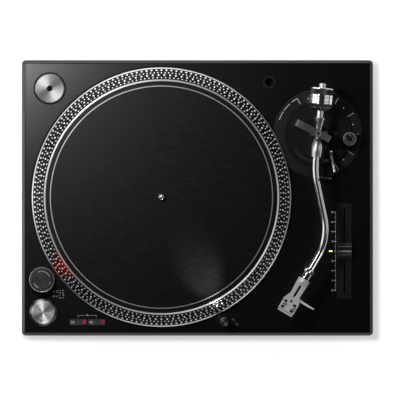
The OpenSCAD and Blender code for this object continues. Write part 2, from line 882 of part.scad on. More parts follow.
module slipmat() color("#1b1b1c") difference() {
    rod(spindle_p, mat_r, mat_z, mat_top);
    rod(spindle_p, pin_collar_r + move_gap, mat_z - over, mat_top + over);
}

module power_supply() color("#b9a36a") translate([supply_p.x, supply_p.y, floor_z]) {
    for (x = [-1, 1], y = [-1, 1])
        translate([x * (supply_size.x / 2 - supply_leg_in), y * (supply_size.y / 2 - supply_leg_in), 0])
            cylinder(r = stem_r, h = supply_stand);
    translate([-supply_size.x / 2, -supply_size.y / 2, supply_stand]) cube([supply_size.x, supply_size.y, board_t]);
    translate([transformer_in.x - supply_size.x / 2, transformer_in.y - supply_size.y / 2, supply_stand + board_t])
        cube(transformer_size);
    for (i = [0, 1])
        translate([capacitor_x, capacitor_y + i * capacitor_gap, supply_stand + board_t])
            cylinder(r = capacitor_r, h = capacitor_h);
}

module main_board() color("#1d5c34") {
    difference() {
        translate([board_x0, board_y0, board_z]) cube([board_x1 - board_x0, board_y1 - board_y0, board_t]);
        for (p = post_places) rod(p, post_r + over, board_z - over, board_z + board_t + over);
    }
    for (p = [start_p, speed_p, speed_p + [speed_pitch, 0]])
        bar(p, switch_w, switch_w, board_z + board_t, board_z + board_t + switch_h);
}

// Deck controls

module strobe_tower() color("#17171a") difference() {
    union() {
        rod(tower_p, tower_r, deck_z, deck_z + tower_h);
        rod(tower_p, tower_stem_r, deck_z - tower_stem_len, deck_z);
    }
    rod(tower_p, power_stem_r + run_fit, deck_z - tower_stem_len - over, deck_z + tower_h + over);
    strobe_window(seat_gap);
}

// Window in the tower's side towards the platter, grown by a gap
module strobe_window(gap) {
    translate([tower_p.x, tower_p.y, lens_z - gap]) rotate(strobe_angle)
        translate([tower_r - lens_t - gap, -lens_w / 2 - gap, 0])
            cube([lens_t + 2 * gap, lens_w + 2 * gap, lens_h + 2 * gap]);
}

module strobe_lens() color("#c01818") intersection() {
    rod(tower_p, tower_r, deck_z, deck_z + tower_h);
    strobe_window(0);
}

module power_knob() color("#5a5c60") {
    translate([tower_p.x, tower_p.y, deck_z + tower_h + move_gap]) rotate_extrude()
        polygon([[0, 0], [power_r, 0], [power_r, power_h - power_bevel], [power_r - power_bevel, power_h],
                 [0, power_h]]);
    rod(tower_p, power_stem_r, deck_z + tower_h - power_stem_len, deck_z + tower_h + move_gap);
}

module start_bezel() color("#2a2a2d") translate([start_p.x, start_p.y, 0]) rotate_extrude()
    polygon([[start_r + move_gap, bezel_bottom], [start_r + move_gap + bezel_sleeve, bezel_bottom],
             [start_r + move_gap + bezel_sleeve, deck_z], [start_r + bezel_w, deck_z],
             [start_r + bezel_w, deck_z + bezel_h / 2], [start_r + bezel_w - bezel_h / 2, deck_z + bezel_h],
             [start_r + move_gap, deck_z + bezel_h]]);

module start_button() color("#c9cacc") translate([start_p.x, start_p.y, 0]) rotate_extrude()
    polygon([[0, button_bottom], [stem_r, button_bottom], [stem_r, bezel_bottom - move_gap - button_flange_t],
             [start_r + move_gap + bezel_sleeve, bezel_bottom - move_gap - button_flange_t],
             [start_r + move_gap + bezel_sleeve, bezel_bottom - move_gap], [start_r, bezel_bottom - move_gap],
             [start_r, deck_z + start_h - start_bevel],
             [start_r - start_bevel, deck_z + start_h], [0, deck_z + start_h]]);

// Speed button: cap, captive flange under the deck, stem, and the pocket of its lamp window
module speed_button(p) color("#3b3c40") {
    difference() {
        bar(p, speed_w, speed_d, under_z - move_gap - button_flange_t, deck_z + speed_h);
        bar(p + [speed_w / 2 - speed_lamp_in, 0], speed_lamp_w, speed_lamp_d, deck_z + speed_h - speed_lamp_depth,
            deck_z + speed_h + over);
    }
    bar(p, min(speed_w + 2 * speed_flange.x, speed_pitch - 2 * move_gap), speed_d + 2 * speed_flange.y,
        under_z - move_gap - button_flange_t, under_z - move_gap);
    rod(p, stem_r, button_bottom, under_z - move_gap - button_flange_t);
}

module speed_button_33() speed_button(speed_p);

module speed_button_45() speed_button(speed_p + [speed_pitch, 0]);

// Window in the lamp's side towards the record, grown by a gap
module lamp_window(gap) {
    translate([lamp_p.x, lamp_p.y, deck_z + lamp_h - lamp_lens_drop - lamp_lens_h - gap]) rotate(lamp_angle)
        translate([lamp_r - lamp_lens_t - gap, -lamp_lens_w / 2 - gap, 0])
            cube([lamp_lens_t + 2 * gap, lamp_lens_w + 2 * gap, lamp_lens_h + 2 * gap]);
}

module stylus_lamp() color("#202024") difference() {
    rod(lamp_p, lamp_r, deck_z + lamp_h - lamp_len, deck_z + lamp_h);
    lamp_window(seat_gap);
}

module lamp_lens() color("#e8f0ff") intersection() {
    rod(lamp_p, lamp_r, deck_z, deck_z + lamp_h);
    lamp_window(0);
}

module lamp_escutcheon() color("#0c0c0d") difference() {
    union() {
        translate([(lamp_p.x + lamp_button_p.x) / 2, lamp_p.y, 0])
            oblong(lamp_pitch + 2 * escutcheon_r, 2 * escutcheon_r, deck_z, deck_z + escutcheon_t);
        rod(lamp_p, lamp_r + run_fit + sleeve_wall, deck_z - lamp_grip, deck_z);
    }
    rod(lamp_p, lamp_r + run_fit, deck_z - lamp_grip - over, deck_z + escutcheon_t + over);
    rod(lamp_button_p, lamp_button_r + move_gap, deck_z - over, deck_z + escutcheon_t + over);
}

module lamp_button() color("#2c2c30") {
    rod(lamp_button_p, lamp_button_r, under_z - move_gap, deck_z + lamp_button_h);
    rod(lamp_button_p, lamp_button_r + lamp_button_flange, under_z - move_gap - button_flange_t, under_z - move_gap);
}

module pitch_panel() color("#232327") difference() {
    bar(pitch_p, pitch_w, pitch_len, deck_z, deck_z + pitch_panel_t);
    bar(pitch_p, slot_w, slot_len, deck_z - over, deck_z + pitch_panel_t + over);
}

module fader_track() color("#55585c") difference() {
    bar(pitch_p, track_w, pitch_len, under_z - track_h, under_z);
    bar(pitch_p, slot_w, slot_len, under_z - track_h + track_floor, under_z + over);
}

module fader_knob() color("#2f3034") {
    translate([pitch_p.x, pitch_p.y, deck_z + pitch_panel_t + fader_gap]) rotate([90, 0, 90])
        translate([0, 0, -pitch_w / 2]) linear_extrude(pitch_w)
            polygon([[-fader_len / 2, 0], [fader_len / 2, 0], [fader_len / 2, fader_shoulder], [fader_crest, fader_h],
                     [fader_saddle_w / 2, fader_saddle], [-fader_saddle_w / 2, fader_saddle], [-fader_crest, fader_h],
                     [-fader_len / 2, fader_shoulder]]);
    bar(pitch_p, stem_w, stem_len, under_z - track_h + track_floor + move_gap, deck_z + pitch_panel_t + fader_gap);
}

module pitch_lamp() color("#c8e060") 
    bar(pitch_lamp_p, window_w, window_d, deck_z + window_up - window_h, deck_z + window_up);

module adaptor_45() color("#cfd0d2") translate([adaptor_p.x, adaptor_p.y, deck_z - well_depth]) rotate_extrude()
    polygon([[adaptor_bore_r, 0], [adaptor_r, 0], [adaptor_r, adaptor_h - adaptor_bevel],
             [adaptor_r - adaptor_bevel, adaptor_h], [adaptor_bore_r, adaptor_h]]);

module headshell_stand() color("#101011") translate([stand_p.x, stand_p.y, deck_z]) rotate_extrude()
    polygon([[0, -stand_len], [stand_r, -stand_len], [stand_r, 0], [stand_flange_r, 0],
             [stand_flange_r, stand_flange_t], [stand_funnel_r, stand_flange_t],
             [stand_bore_r, stand_flange_t - stand_funnel_h], [stand_bore_r, stand_floor - stand_len],
             [0, stand_floor - stand_len]]);

// Tonearm base

module at_pivot() translate([pivot_p.x, pivot_p.y, 0]) children();

// Frame of the resting arm: the arm runs forward along -Y
module in_arm() at_pivot() rotate(-arm_angle) children();

module arm_base_plate() color("#18181a") at_pivot() difference() {
    union() {
        rod([0, 0], arm_plate_r, deck_z, arm_plate_z);
        rod([0, 0], guide_r + guide_wall, deck_z - guide_depth, guide_top);
    }
    rod([0, 0], guide_r + run_fit, deck_z - guide_depth - over, guide_top + over);
}

module height_ring() color("#202023") at_pivot() rotate_extrude()
    polygon([[guide_r + guide_wall + run_fit, ring_z], [height_r, ring_z],
             [height_r, ring_z + height_ring_h - height_bevel],
             [height_r - height_bevel, ring_z + height_ring_h], [height_r - height_rim, ring_z + height_ring_h],
             [height_r - height_rim, ring_z + height_web], [guide_r + guide_wall + run_fit, ring_z + height_web]]);

module arm_tower() color("#1a1a1c") difference() {
    union() {
        at_pivot() {
            rod([0, 0], guide_r, deck_z - guide_depth + piston_short, platform_z);
            rod([0, 0], platform_r, platform_z, platform_top);
            rod([0, 0], column_r, platform_top, column_top);
            translate([cue_box_x, cue_box_y, platform_top]) cube([cue_box.x, cue_box.y, cue_box_h]);
        }
        in_arm() translate([rest_x - rest_w / 2, -rest_u - rest_d / 2, outrigger_z])
            cube([rest_w, rest_u + rest_d / 2 - guide_r + outrigger_lap, outrigger_top - outrigger_z]);
    }
    at_pivot() {
        rod([0, 0], guide_r - guide_wall, deck_z - guide_depth - over, platform_z);
        rod([0, 0], low_pin_r + run_fit, column_top - low_pin_len - move_gap, column_top + over);
        rod(lift_post_p, lift_post_r + run_fit, platform_z - over, platform_top + cue_box_h + over);
        translate([cue_box_x + cue_box.x - cue_pin_len, cue_y, cue_z]) rotate([0, 90, 0])
            cylinder(r = cue_pin_r + run_fit, h = cue_pin_len + over);
    }
}

module arm_bridge() color("#55575b") at_pivot() rotate(bridge_angle) difference() {
    union() {
        translate([-bridge_short, -bridge_w / 2, bridge_z]) cube([bridge_long + bridge_short, bridge_w, bridge_t]);
        translate([bridge_long - bridge_leg, -bridge_w / 2, platform_top])
            cube([bridge_leg, bridge_w, bridge_z - platform_top]);
        translate([-bridge_short, -bridge_w / 2, platform_top])
            cube([bridge_leg_short, bridge_w, bridge_z - platform_top]);
        rod([0, 0], nut_r, bridge_z + bridge_t, bridge_z + bridge_t + nut_h);
    }
    rod([0, 0], high_pin_r + run_fit, bridge_z - over, axis_z + gimbal_r + high_pin_len + move_gap);
}

// Cylinder or cone along the arm at rest, from u0 to u1 ahead of the pivot
module arm_rod(r0, r1, u0, u1) {
    translate([0, -u0, axis_z]) rotate([90, 0, 0]) cylinder(r1 = r0, r2 = r1, h = u1 - u0);
}

module gimbal_ring() color("#b9bbbe") in_arm() difference() {
    union() {
        arm_rod(gimbal_r, gimbal_r, -gimbal_w / 2, gimbal_w / 2);
        rod([0, 0], 2 * low_pin_r, column_top + move_gap, axis_z - gimbal_r + gimbal_wall);
        rod([0, 0], low_pin_r, column_top - low_pin_len, column_top + move_gap);
        rod([0, 0], high_pin_r, axis_z + gimbal_r - gimbal_wall, axis_z + gimbal_r + high_pin_len);
    }
    arm_rod(gimbal_r - gimbal_wall, gimbal_r - gimbal_wall, -gimbal_w / 2 - over, gimbal_w / 2 + over);
    translate([-gimbal_r - over, 0, axis_z]) rotate([0, 90, 0])
        cylinder(r = trunnion_r + run_fit, h = 2 * (gimbal_r + over));
}

// Arm, along its axis

module arm_barrel() color("#c4c6c9") in_arm() difference() {
    union() {
        arm_rod(barrel_r, barrel_tip_r, barrel_belly, barrel_end);
        arm_rod(barrel_flare_r, barrel_r, barrel_flare, barrel_belly);
        arm_rod(barrel_neck_r, barrel_flare_r, barrel_root, barrel_flare);
        arm_rod(barrel_neck_r, barrel_neck_r, -rear_collar_0, barrel_root);
        arm_rod(rear_collar_r, barrel_neck_r, -rear_collar_1, -rear_collar_0);
        arm_rod(rear_shaft_r, rear_shaft_r, -rear_shaft_end, -rear_collar_1);
        translate([-trunnion_len, 0, axis_z]) rotate([0, 90, 0]) cylinder(r = trunnion_r, h = 2 * trunnion_len);
    }
    arm_rod(tube_r + run_fit, tube_r + run_fit, barrel_end - tube_grip, barrel_end + over);
}

// Frames at the two bends and at the headshell's end of the locking collar
module at_bend_1() in_arm() translate([0, -leg_1, 0]) rotate(bend_1) children();

module at_bend_2() at_bend_1() translate([0, -leg_2, 0]) rotate(-bend_2) children();

module at_shell() at_bend_2() translate([0, -leg_3 - lock_len, 0]) children();

// Tube swept along its path: each ring of points lies square to the path at one stop
module arm_tube() color("#d4d6d9") in_arm() polyhedron(
    points = [for (stop = tube_path, k = [0 : tube_sides - 1])
        let (side = tube_r * cos(k * 360 / tube_sides), across = right(stop[1]))
            [stop[0].x + side * across.x, stop[0].y + side * across.y, axis_z + tube_r * sin(k * 360 / tube_sides)]],
    faces = concat(
        [[for (k = [0 : tube_sides - 1]) k]],
        [for (i = [0 : len(tube_path) - 2], k = [0 : tube_sides - 1], half = [0, 1])
            let (a = i * tube_sides + k, b = i * tube_sides + (k + 1) % tube_sides)
                half == 0 ? [a, a + tube_sides, b] : [b, a + tube_sides, b + tube_sides]],
        [[for (k = [tube_sides - 1 : -1 : 0]) (len(tube_path) - 1) * tube_sides + k]]
    )
);

module locking_collar() color("#c8cacd") at_shell() difference() {
    union() {
        arm_rod(lock_r, lock_r, -lock_len, -seat_gap);
        arm_rod(lock_r + lock_bead, lock_r + lock_bead, lock_bead_0 - lock_len, lock_bead_1 - lock_len);
    }
    arm_rod(tube_r + run_fit, tube_r + run_fit, -lock_len - over, over);
}

module headshell() color("#a4a7ab") at_shell() difference() {
    union() {
        translate([0, 0, shell_bottom]) linear_extrude(shell_t)
            polygon([[-shell_rear_w / 2, 0], [-shell_waist_w / 2, -shell_waist_u], [-shell_front_w / 2, -shell_flare_u],
                     [-shell_front_w / 2, shell_tip_len - shell_len], [-shell_tip_w / 2, -shell_len],
                     [shell_tip_w / 2, -shell_len],
                     [shell_front_w / 2, shell_tip_len - shell_len], [shell_front_w / 2, -shell_flare_u],
                     [shell_waist_w / 2, -shell_waist_u], [shell_rear_w / 2, 0]]);
        arm_rod(shell_neck_r, shell_neck_r, 0, shell_neck_len);
        arm_rod(plug_r, plug_r, -plug_len, 0);
    }
    translate([0, -shell_slot_u - shell_slot_len / 2, 0]) rotate(90)
        oblong(shell_slot_len, shell_slot_w, shell_bottom - over, shell_top + over);
    rod([0, -shell_hole_u], shell_hole_r, shell_bottom - over, shell_top + over);
    for (s = [-1, 1])
        translate([s * mount_v, -mount_u, 0]) rotate(90)
            oblong(mount_len, mount_w, shell_bottom - over, shell_top + over);
    translate([-shell_front_w / 2, shell_groove_in - shell_len, shell_top - shell_groove_depth])
        cube([shell_front_w, shell_groove_w, over]);
}

module finger_lift() color("#d0d2d4") at_shell() {
    translate([0, -lift_tab_u - lift_tab_w / 2, shell_bottom - lift_tab_t])
        cube([shell_front_w / 2, lift_tab_w, lift_tab_t]);
    translate([shell_front_w / 2, -lift_tab_u, shell_bottom - lift_tab_t / 2]) rotate([0, 90, 0])
        cylinder(r1 = finger_r, r2 = finger_tip_r, h = finger_len);
}

module cartridge() color("#26262a") at_shell() difference() {
    union() {
        bar([0, -mount_u], cartridge_ear_w, cartridge_ear_d, shell_bottom - cartridge_ear_h, shell_bottom);
        translate([-cartridge_w / 2, -cartridge_u1, shell_bottom - cartridge_h])
            cube([cartridge_w, cartridge_u1 - cartridge_u0, cartridge_h]);
    }
    for (s = [-1, 1])
        rod([s * mount_v, -mount_u], mount_screw_r + run_fit, shell_bottom - cartridge_ear_h, shell_bottom + over);
}

module stylus() color("#e9e9ec") at_shell() {
    translate([-stylus_block.x / 2, -cartridge_u1 - stylus_nose, stylus_top - stylus_block.z]) cube(stylus_block);
    translate([0, -stylus_u, stylus_tip])
        cylinder(r1 = stylus_tip_r, r2 = stylus_root_r, h = stylus_top - stylus_block.z - stylus_tip);
}

module cartridge_screws() color("#d6d6d8") at_shell() for (s = [-1, 1]) {
    rod([s * mount_v, -mount_u], mount_head_r, shell_top, shell_top + mount_head_h);
    rod([s * mount_v, -mount_u], mount_screw_r, shell_bottom - cartridge_ear_h + mount_screw_spare, shell_top);
}

module weight_bush() color("#8f9195") in_arm() difference() {
    arm_rod(bush_r, bush_r, -band_1, -dial_0);
    arm_rod(rear_shaft_r + run_fit, rear_shaft_r + run_fit, -band_1 - over, over - dial_0);
}

module counterweight() color("#c2c4c8") in_arm() difference() {
    union() {
        arm_rod(weight_r, weight_r, -band_0, -weight_0);
        arm_rod(weight_r - band_groove, weight_r - band_groove, -band_1, -band_0);
        arm_rod(weight_r, weight_r, -weight_1, -band_1);
    }
    arm_rod(bush_r + run_fit, bush_r + run_fit, -weight_1 - over, over - weight_0);
}

module force_dial() color("#151517") in_arm() difference() {
    arm_rod(dial_r, dial_tip_r, -dial_1, -dial_0);
    arm_rod(bush_r + run_fit, bush_r + run_fit, -dial_1 - over, over - dial_0);
}

// Pieces carried by the arm tower

module anti_skate_housing() color("#1a1a1c") at_pivot() difference() {
    translate([skate_box_x, skate_y - skate_box_w / 2, platform_top])
        cube([skate_box_end - skate_box_x, skate_box_w, skate_box_h]);
    rod([skate_x, skate_y], skate_stem_r + run_fit, platform_top + skate_box_h - skate_stem_len - move_gap,
        platform_top + skate_box_h + over);
}

module anti_skate_knob() color("#3a3b3f") at_pivot() {
    rod([skate_x, skate_y], skate_r, platform_top + skate_box_h + move_gap, platform_top + skate_box_h + skate_h);
    rod([skate_x, skate_y], skate_stem_r, platform_top + skate_box_h - skate_stem_len,
        platform_top + skate_box_h + move_gap);
}

module arm_rest() color("#141416") in_arm() translate([0, -rest_u, 0]) {
    bar([rest_x, 0], rest_w / 2, rest_d, outrigger_top, rest_top - rest_wall);
    bar([rest_x, 0], rest_w, rest_d, rest_top - rest_wall, rest_top);
    bar([hinge_x, 0], rest_wall, rest_d, rest_top, hinge_z + hinge_cheek);
    translate([hinge_x, -rest_d / 2, hinge_z]) rotate([90, 0, 0]) cylinder(r = hinge_r, h = clip_d + 2 * move_gap);
}

// Clip, drawn closed over the tube and swung open about its hinge
module arm_clip() color("#1e1e21") in_arm()
    translate([hinge_x, -rest_u - rest_d / 2 - move_gap, hinge_z]) rotate([0, clip_open, 0])
        rotate([90, 0, 0]) linear_extrude(clip_d) difference() {
            union() {
                circle(knuckle_r);
                translate(clip_centre) intersection() {
                    difference() {
                        circle(clip_r + clip_t);
                        circle(clip_r);
                    }
                    translate([-2 * clip_r, -clip_root]) square([4 * clip_r, 2 * clip_r + clip_root]);
                }
                translate([clip_centre.x + clip_r, -clip_root]) square([clip_t, clip_centre.y + clip_root]);
            }
            circle(hinge_r + run_fit);
        }

module cue_lever() color("#9a9ca0") at_pivot() {
    translate([cue_box_x + cue_box.x - cue_pin_len + move_gap, cue_y, cue_z]) rotate([0, 90, 0])
        cylinder(r = cue_pin_r, h = cue_pin_len);
    translate([cue_box_x + cue_box.x + move_gap, cue_y, cue_z]) {
        rotate([0, 90, 0]) cylinder(r = cue_hub_r, h = cue_hub_w);
        translate([cue_hub_w / 2, 0, 0]) rotate([90 - cue_rise, 0, cue_splay]) cylinder(r = cue_rod_r, h = cue_len);
    }
}

module lift_platform() color("#2a2a2d") at_pivot() {
    translate([0, 0, lift_top - lift_t]) rotate(lift_angle_0)
        rotate_extrude(angle = lift_angle_1 - lift_angle_0 + lift_post_lap)
        translate([lift_r - lift_w / 2, 0]) square([lift_w, lift_t]);
    rod(lift_post_p, lift_post_r, lift_top - lift_t - lift_post_len, lift_top - lift_t);
}

plinth();
base_cover();
base_screws();
feet();
foot_pads();
rear_panel();
rca_jacks();
ground_nut();
line_switch();
usb_port();
ac_inlet();
motor_frame();
bearing_housing();
stator_board();
stator_coils();
spindle();
rotor_magnet();
platter();
slipmat();
power_supply();
main_board();
strobe_tower();
strobe_lens();
power_knob();
start_bezel();
start_button();
speed_button_33();
speed_button_45();
stylus_lamp();
lamp_lens();
lamp_escutcheon();
lamp_button();
pitch_panel();
fader_track();
fader_knob();
pitch_lamp();
adaptor_45();
headshell_stand();
arm_base_plate();
height_ring();
arm_tower();
arm_bridge();
gimbal_ring();
arm_barrel();
arm_tube();
locking_collar();
headshell();
finger_lift();
cartridge();
stylus();
cartridge_screws();
weight_bush();
counterweight();
force_dial();
anti_skate_housing();
anti_skate_knob();
arm_rest();
arm_clip();
cue_lever();
lift_platform();
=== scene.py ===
import math

import bpy
from mathutils import Matrix, Vector


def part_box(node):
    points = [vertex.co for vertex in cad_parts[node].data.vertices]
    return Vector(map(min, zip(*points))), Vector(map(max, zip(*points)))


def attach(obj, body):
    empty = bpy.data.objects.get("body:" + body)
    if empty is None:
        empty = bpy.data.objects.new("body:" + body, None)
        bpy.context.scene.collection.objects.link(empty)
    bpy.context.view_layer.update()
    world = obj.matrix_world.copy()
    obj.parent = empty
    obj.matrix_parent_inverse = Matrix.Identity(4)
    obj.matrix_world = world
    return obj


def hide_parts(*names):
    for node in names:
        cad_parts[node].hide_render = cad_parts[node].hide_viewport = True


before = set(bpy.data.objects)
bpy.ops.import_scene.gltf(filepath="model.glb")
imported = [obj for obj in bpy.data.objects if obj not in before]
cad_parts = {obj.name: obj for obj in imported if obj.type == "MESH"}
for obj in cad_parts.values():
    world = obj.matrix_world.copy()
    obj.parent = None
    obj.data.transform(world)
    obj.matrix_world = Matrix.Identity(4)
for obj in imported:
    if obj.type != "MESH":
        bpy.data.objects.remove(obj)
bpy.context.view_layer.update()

# Studio camera: a long lens straight above the deck, so the plan is nearly free of perspective.
# The frame is square and takes in the plinth with a margin of floor all round.
view_width = 0.5125
view_middle = (0.0033, -0.0027)
camera_height = 9.0
sensor = 36.0
deck_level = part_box("plinth")[1][2]
camera_data = bpy.data.cameras.new("camera")
camera_data.sensor_width = sensor
camera_data.lens = sensor * (camera_height - deck_level) / view_width
camera_data.clip_end = 20
camera = bpy.data.objects.new("camera", camera_data)
camera.location = (*view_middle, camera_height)
bpy.context.collection.objects.link(camera)
bpy.context.scene.camera = camera
bpy.context.scene.view_settings.view_transform = "Standard"


# Floor: a white sweep under the feet. The camera sees it as paper white, dimmed where the deck shades it.
# Polished metal and clear lenses show the same paper.
class Signal:
    """A shader socket. Arithmetic on it adds Math nodes to its material."""

    def __init__(self, tree, socket=None):
        self.tree = tree
        self.socket = socket

    def node(self, kind, settings=None, inputs=None, out=0):
        """Adds any node: its settings first, then the values or links of its sockets."""
        made = self.tree.nodes.new(kind)
        for name, value in (settings or {}).items():
            setattr(made, name, value)
        for name, value in (inputs or {}).items():
            feed(made.inputs[name], value)
        return Signal(self.tree, made.outputs[out])

    def maths(self, operation, *values):
        return self.node("ShaderNodeMath", {"operation": operation}, dict(enumerate(values)))

    def vector(self, operation, *values, out=0):
        return self.node("ShaderNodeVectorMath", {"operation": operation}, dict(enumerate(values)), out)

    def mix(self, a, b):
        """Mixes two colours, with this signal as the share of the second."""
        return self.node("ShaderNodeMix", {"data_type": "RGBA"}, {0: self, 6: a, 7: b}, 2)

    def clip(self, low, high):
        """Turns the stretch from low to high into 0 to 1, and holds it there."""
        return self.node("ShaderNodeMapRange", None, {"Value": self, "From Min": low, "From Max": high})

    def __add__(self, other):
        return self.maths("ADD", self, other)

    def __sub__(self, other):
        return self.maths("SUBTRACT", self, other)

    def __rsub__(self, other):
        return self.maths("SUBTRACT", other, self)

    def __mul__(self, other):
        return self.maths("MULTIPLY", self, other)

    def __truediv__(self, other):
        return self.maths("DIVIDE", self, other)

    def __rtruediv__(self, other):
        return self.maths("DIVIDE", other, self)

    __radd__ = __add__
    __rmul__ = __mul__


def feed(socket, value):
    """Links a signal to a socket, or sets a plain value on it."""
    if isinstance(value, Signal):
        value.tree.links.new(value.socket, socket)
    else:
        socket.default_value = value


def tone(level, tint=(1.0, 1.0, 1.0)):
    """A linear colour from a screen grey of 0 to 255, tinted."""
    share = level / 255
    linear = share / 12.92 if share <= 0.04045 else ((share + 0.055) / 1.055) ** 2.4
    return (linear * tint[0], linear * tint[1], linear * tint[2], 1.0)


floor_half = 3.0
floor_glow = 0.56
floor_mesh = bpy.data.meshes.new("floor")
floor_corners = [(x * floor_half, y * floor_half, 0) for x, y in ((-1, -1), (1, -1), (1, 1), (-1, 1))]
floor_mesh.from_pydata(floor_corners, [], [(0, 1, 2, 3)])
floor = bpy.data.objects.new("floor", floor_mesh)
bpy.context.collection.objects.link(floor)
floor_white = bpy.data.materials.new("floor_white")
floor_white.use_nodes = True
floor_tree = floor_white.node_tree
floor_tree.nodes.remove(floor_tree.nodes["Principled BSDF"])
floor_start = Signal(floor_tree)
seen = floor_start.node("ShaderNodeLightPath", out="Is Camera Ray")
mirrored = floor_start.node("ShaderNodeLightPath", out="Is Glossy Ray")
through = floor_start.node("ShaderNodeLightPath", out="Is Transmission Ray")
paper = floor_start.node("ShaderNodeBsdfDiffuse", None, {"Color": tone(242)})
glow = floor_start.node("ShaderNodeEmission", None, {"Color": (1, 1, 1, 1), "Strength": 1.0})
lit_share = (seen + mirrored + through) * floor_glow
surface = floor_start.node("ShaderNodeMixShader", None, {0: lit_share, 1: paper, 2: glow})
feed(floor_tree.nodes["Material Output"].inputs["Surface"], surface)
floor_mesh.materials.append(floor_white)


# Studio lamps: a softbox over the back left corner gives the sheen that fades across the deck. Low panels
# light the sides and the chrome and keep out of the deck's reflection, two of them for bright metal alone.
# A lamp high above lights only the floor.
def aim(lamp, place, target):
    """Hangs a lamp at a place and points it at a target."""
    lamp.location = place
    lamp.rotation_euler = (Vector(target) - Vector(place)).to_track_quat("-Z", "Y").to_euler()
    lamp.visible_camera = False
    bpy.context.collection.objects.link(lamp)
    return lamp


def softbox(name, place, target, size, power):
    data = bpy.data.lights.new(name, "AREA")
    data.shape = "RECTANGLE"
    data.size, data.size_y = size
    data.energy = power
    return aim(bpy.data.objects.new(name, data), place, target)


def light_only(name, lamps, pieces=()):
    """Lets the lamps light only these pieces, and those that join the group later."""
    group = bpy.data.collections.new(name)
    for piece in pieces:
        group.objects.link(piece)
    for lamp in lamps:
        lamp.light_linking.receiver_collection = group
    return group


softbox("key", (-0.325, 0.28, 0.95), (-0.2, 0.16, deck_level), (0.16, 0.16), 3.2)
floor_lamp = softbox("floor_lamp", (-0.10, 0.09, 3.0), (0, 0, 0), (0.22, 0.22), 92.0)
light_only("floor_only", [floor_lamp], [floor])
panel_target = (0, 0, 0.05)
softbox("panel_left", (-1.4, 0.1, 0.75), panel_target, (0.7, 1.6), 7.0)
softbox("panel_right", (1.4, 0.2, 1.0), panel_target, (0.7, 1.4), 2.4)
softbox("panel_front", (0.1, -1.4, 0.3), panel_target, (1.8, 0.5), 1.5)
softbox("panel_back", (0, 1.4, 0.7), panel_target, (1.8, 0.6), 9.0)
near_corner = softbox("panel_near_corner", (1.15, -0.95, 0.6), panel_target, (0.9, 0.6), 5.5)
far_corner = softbox("panel_far_corner", (-0.6, 1.2, 0.7), panel_target, (1.3, 0.6), 11.0)
bright_metal = light_only("bright_metal", [near_corner, far_corner])
world = bpy.data.worlds.new("studio")
world.use_nodes = True
world.node_tree.nodes["Background"].inputs["Color"].default_value = (0.8, 0.8, 0.8, 1)
world.node_tree.nodes["Background"].inputs["Strength"].default_value = 0.034
bpy.context.scene.world = world


# Base cover: a deep tray of black plastic that closes the plinth from below, held by four screws.
# It is moulded, with the fine spark-eroded grain of such trays.
def as_material(recipe):
    """Makes a recipe for the Principled sockets into a function that returns a named material."""
    def make(name, *values, **named):
        made = bpy.data.materials.new(name)
        made.use_nodes = True
        shader = made.node_tree.nodes["Principled BSDF"]
        for socket, value in recipe(Signal(made.node_tree), *values, **named).items():
            feed(shader.inputs[socket], value)
        return made
    return make


def place_on(start):
    """The point on the piece, in the piece's own metres."""
    return start.node("ShaderNodeTexCoord", out="Object")


def grain(start, size, detail=3.0, stretch=(1, 1, 1)):
    """Noise from 0 to 1 with features of about the given size, stretched along the axes."""
    at = start.vector("MULTIPLY", place_on(start), tuple(1 / (size * s) for s in stretch))
    return start.node("ShaderNodeTexNoise", None, {"Vector": at, "Scale": 1.0, "Detail": detail})


def bumps(start, height, depth, strength):
    """A normal that follows a height from 0 to 1, with the given depth in metres."""
    return start.node("ShaderNodeBump", None, {"Strength": strength, "Distance": depth, "Height": height})


@as_material
def moulded(start, level, rough, grain_size=0.0006, grain_depth=0.00004):
    """Moulded plastic: eroded grain, faint cloudiness and rubbed patches."""
    fine = grain(start, grain_size)
    cloud = grain(start, 0.05, 2.0)
    rub = grain(start, 0.014, 5.0).clip(0.45, 0.75)
    return {
        "Base Color": cloud.clip(0.3, 0.7).mix(tone(level * 0.9), tone(level * 1.12)),
        "Roughness": rough + 0.1 * fine - 0.08 * rub,
        "Specular IOR Level": 0.45,
        "Normal": bumps(start, fine, grain_depth, 0.6),
    }


def dress(node, material, edge=0.0003):
    """Gives a construction node its finish, and breaks its edges by a small radius."""
    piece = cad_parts[node]
    for slot in piece.material_slots:
        slot.material = material
    if edge:
        weld = piece.modifiers.new("weld", "WELD")
        weld.merge_threshold = 0.000002
        bevel = piece.modifiers.new("edge", "BEVEL")
        bevel.width = edge
        bevel.segments = 2
        bevel.limit_method = "ANGLE"
        bevel.angle_limit = soft_angle
        bevel.harden_normals = True
    return piece


soft_angle = math.radians(35)
dress("base_cover", moulded("base_black", 30, 0.55), 0.0012)


# Base screws: zinc plated steel, driven up through the base cover into the plinth's posts.
# Their heads sit at the bottom of counterbores.
@as_material
def metal(start, level, rough, streak=(1, 1, 1), streak_size=0.0005, tint=(1, 1, 1), wear=0.12):
    """Bare metal: drawn or brushed along the long axis of streak, with handling marks."""
    line = grain(start, streak_size, 4.0, streak)
    smear = grain(start, 0.02, 4.0).clip(0.35, 0.75)
    dark, bright = tone(level * 0.93, tint), tone(min(level * 1.05, 255), tint)
    return {
        "Base Color": line.clip(0.3, 0.7).mix(dark, bright),
        "Metallic": 1.0,
        "Roughness": rough + wear * smear - 0.3 * wear * line,
        "Normal": bumps(start, line, 0.00001, min(3 * wear, 0.35)),
    }


dress("base_screws", metal("plated_steel", 190, 0.28, tint=(1, 0.98, 0.94)))


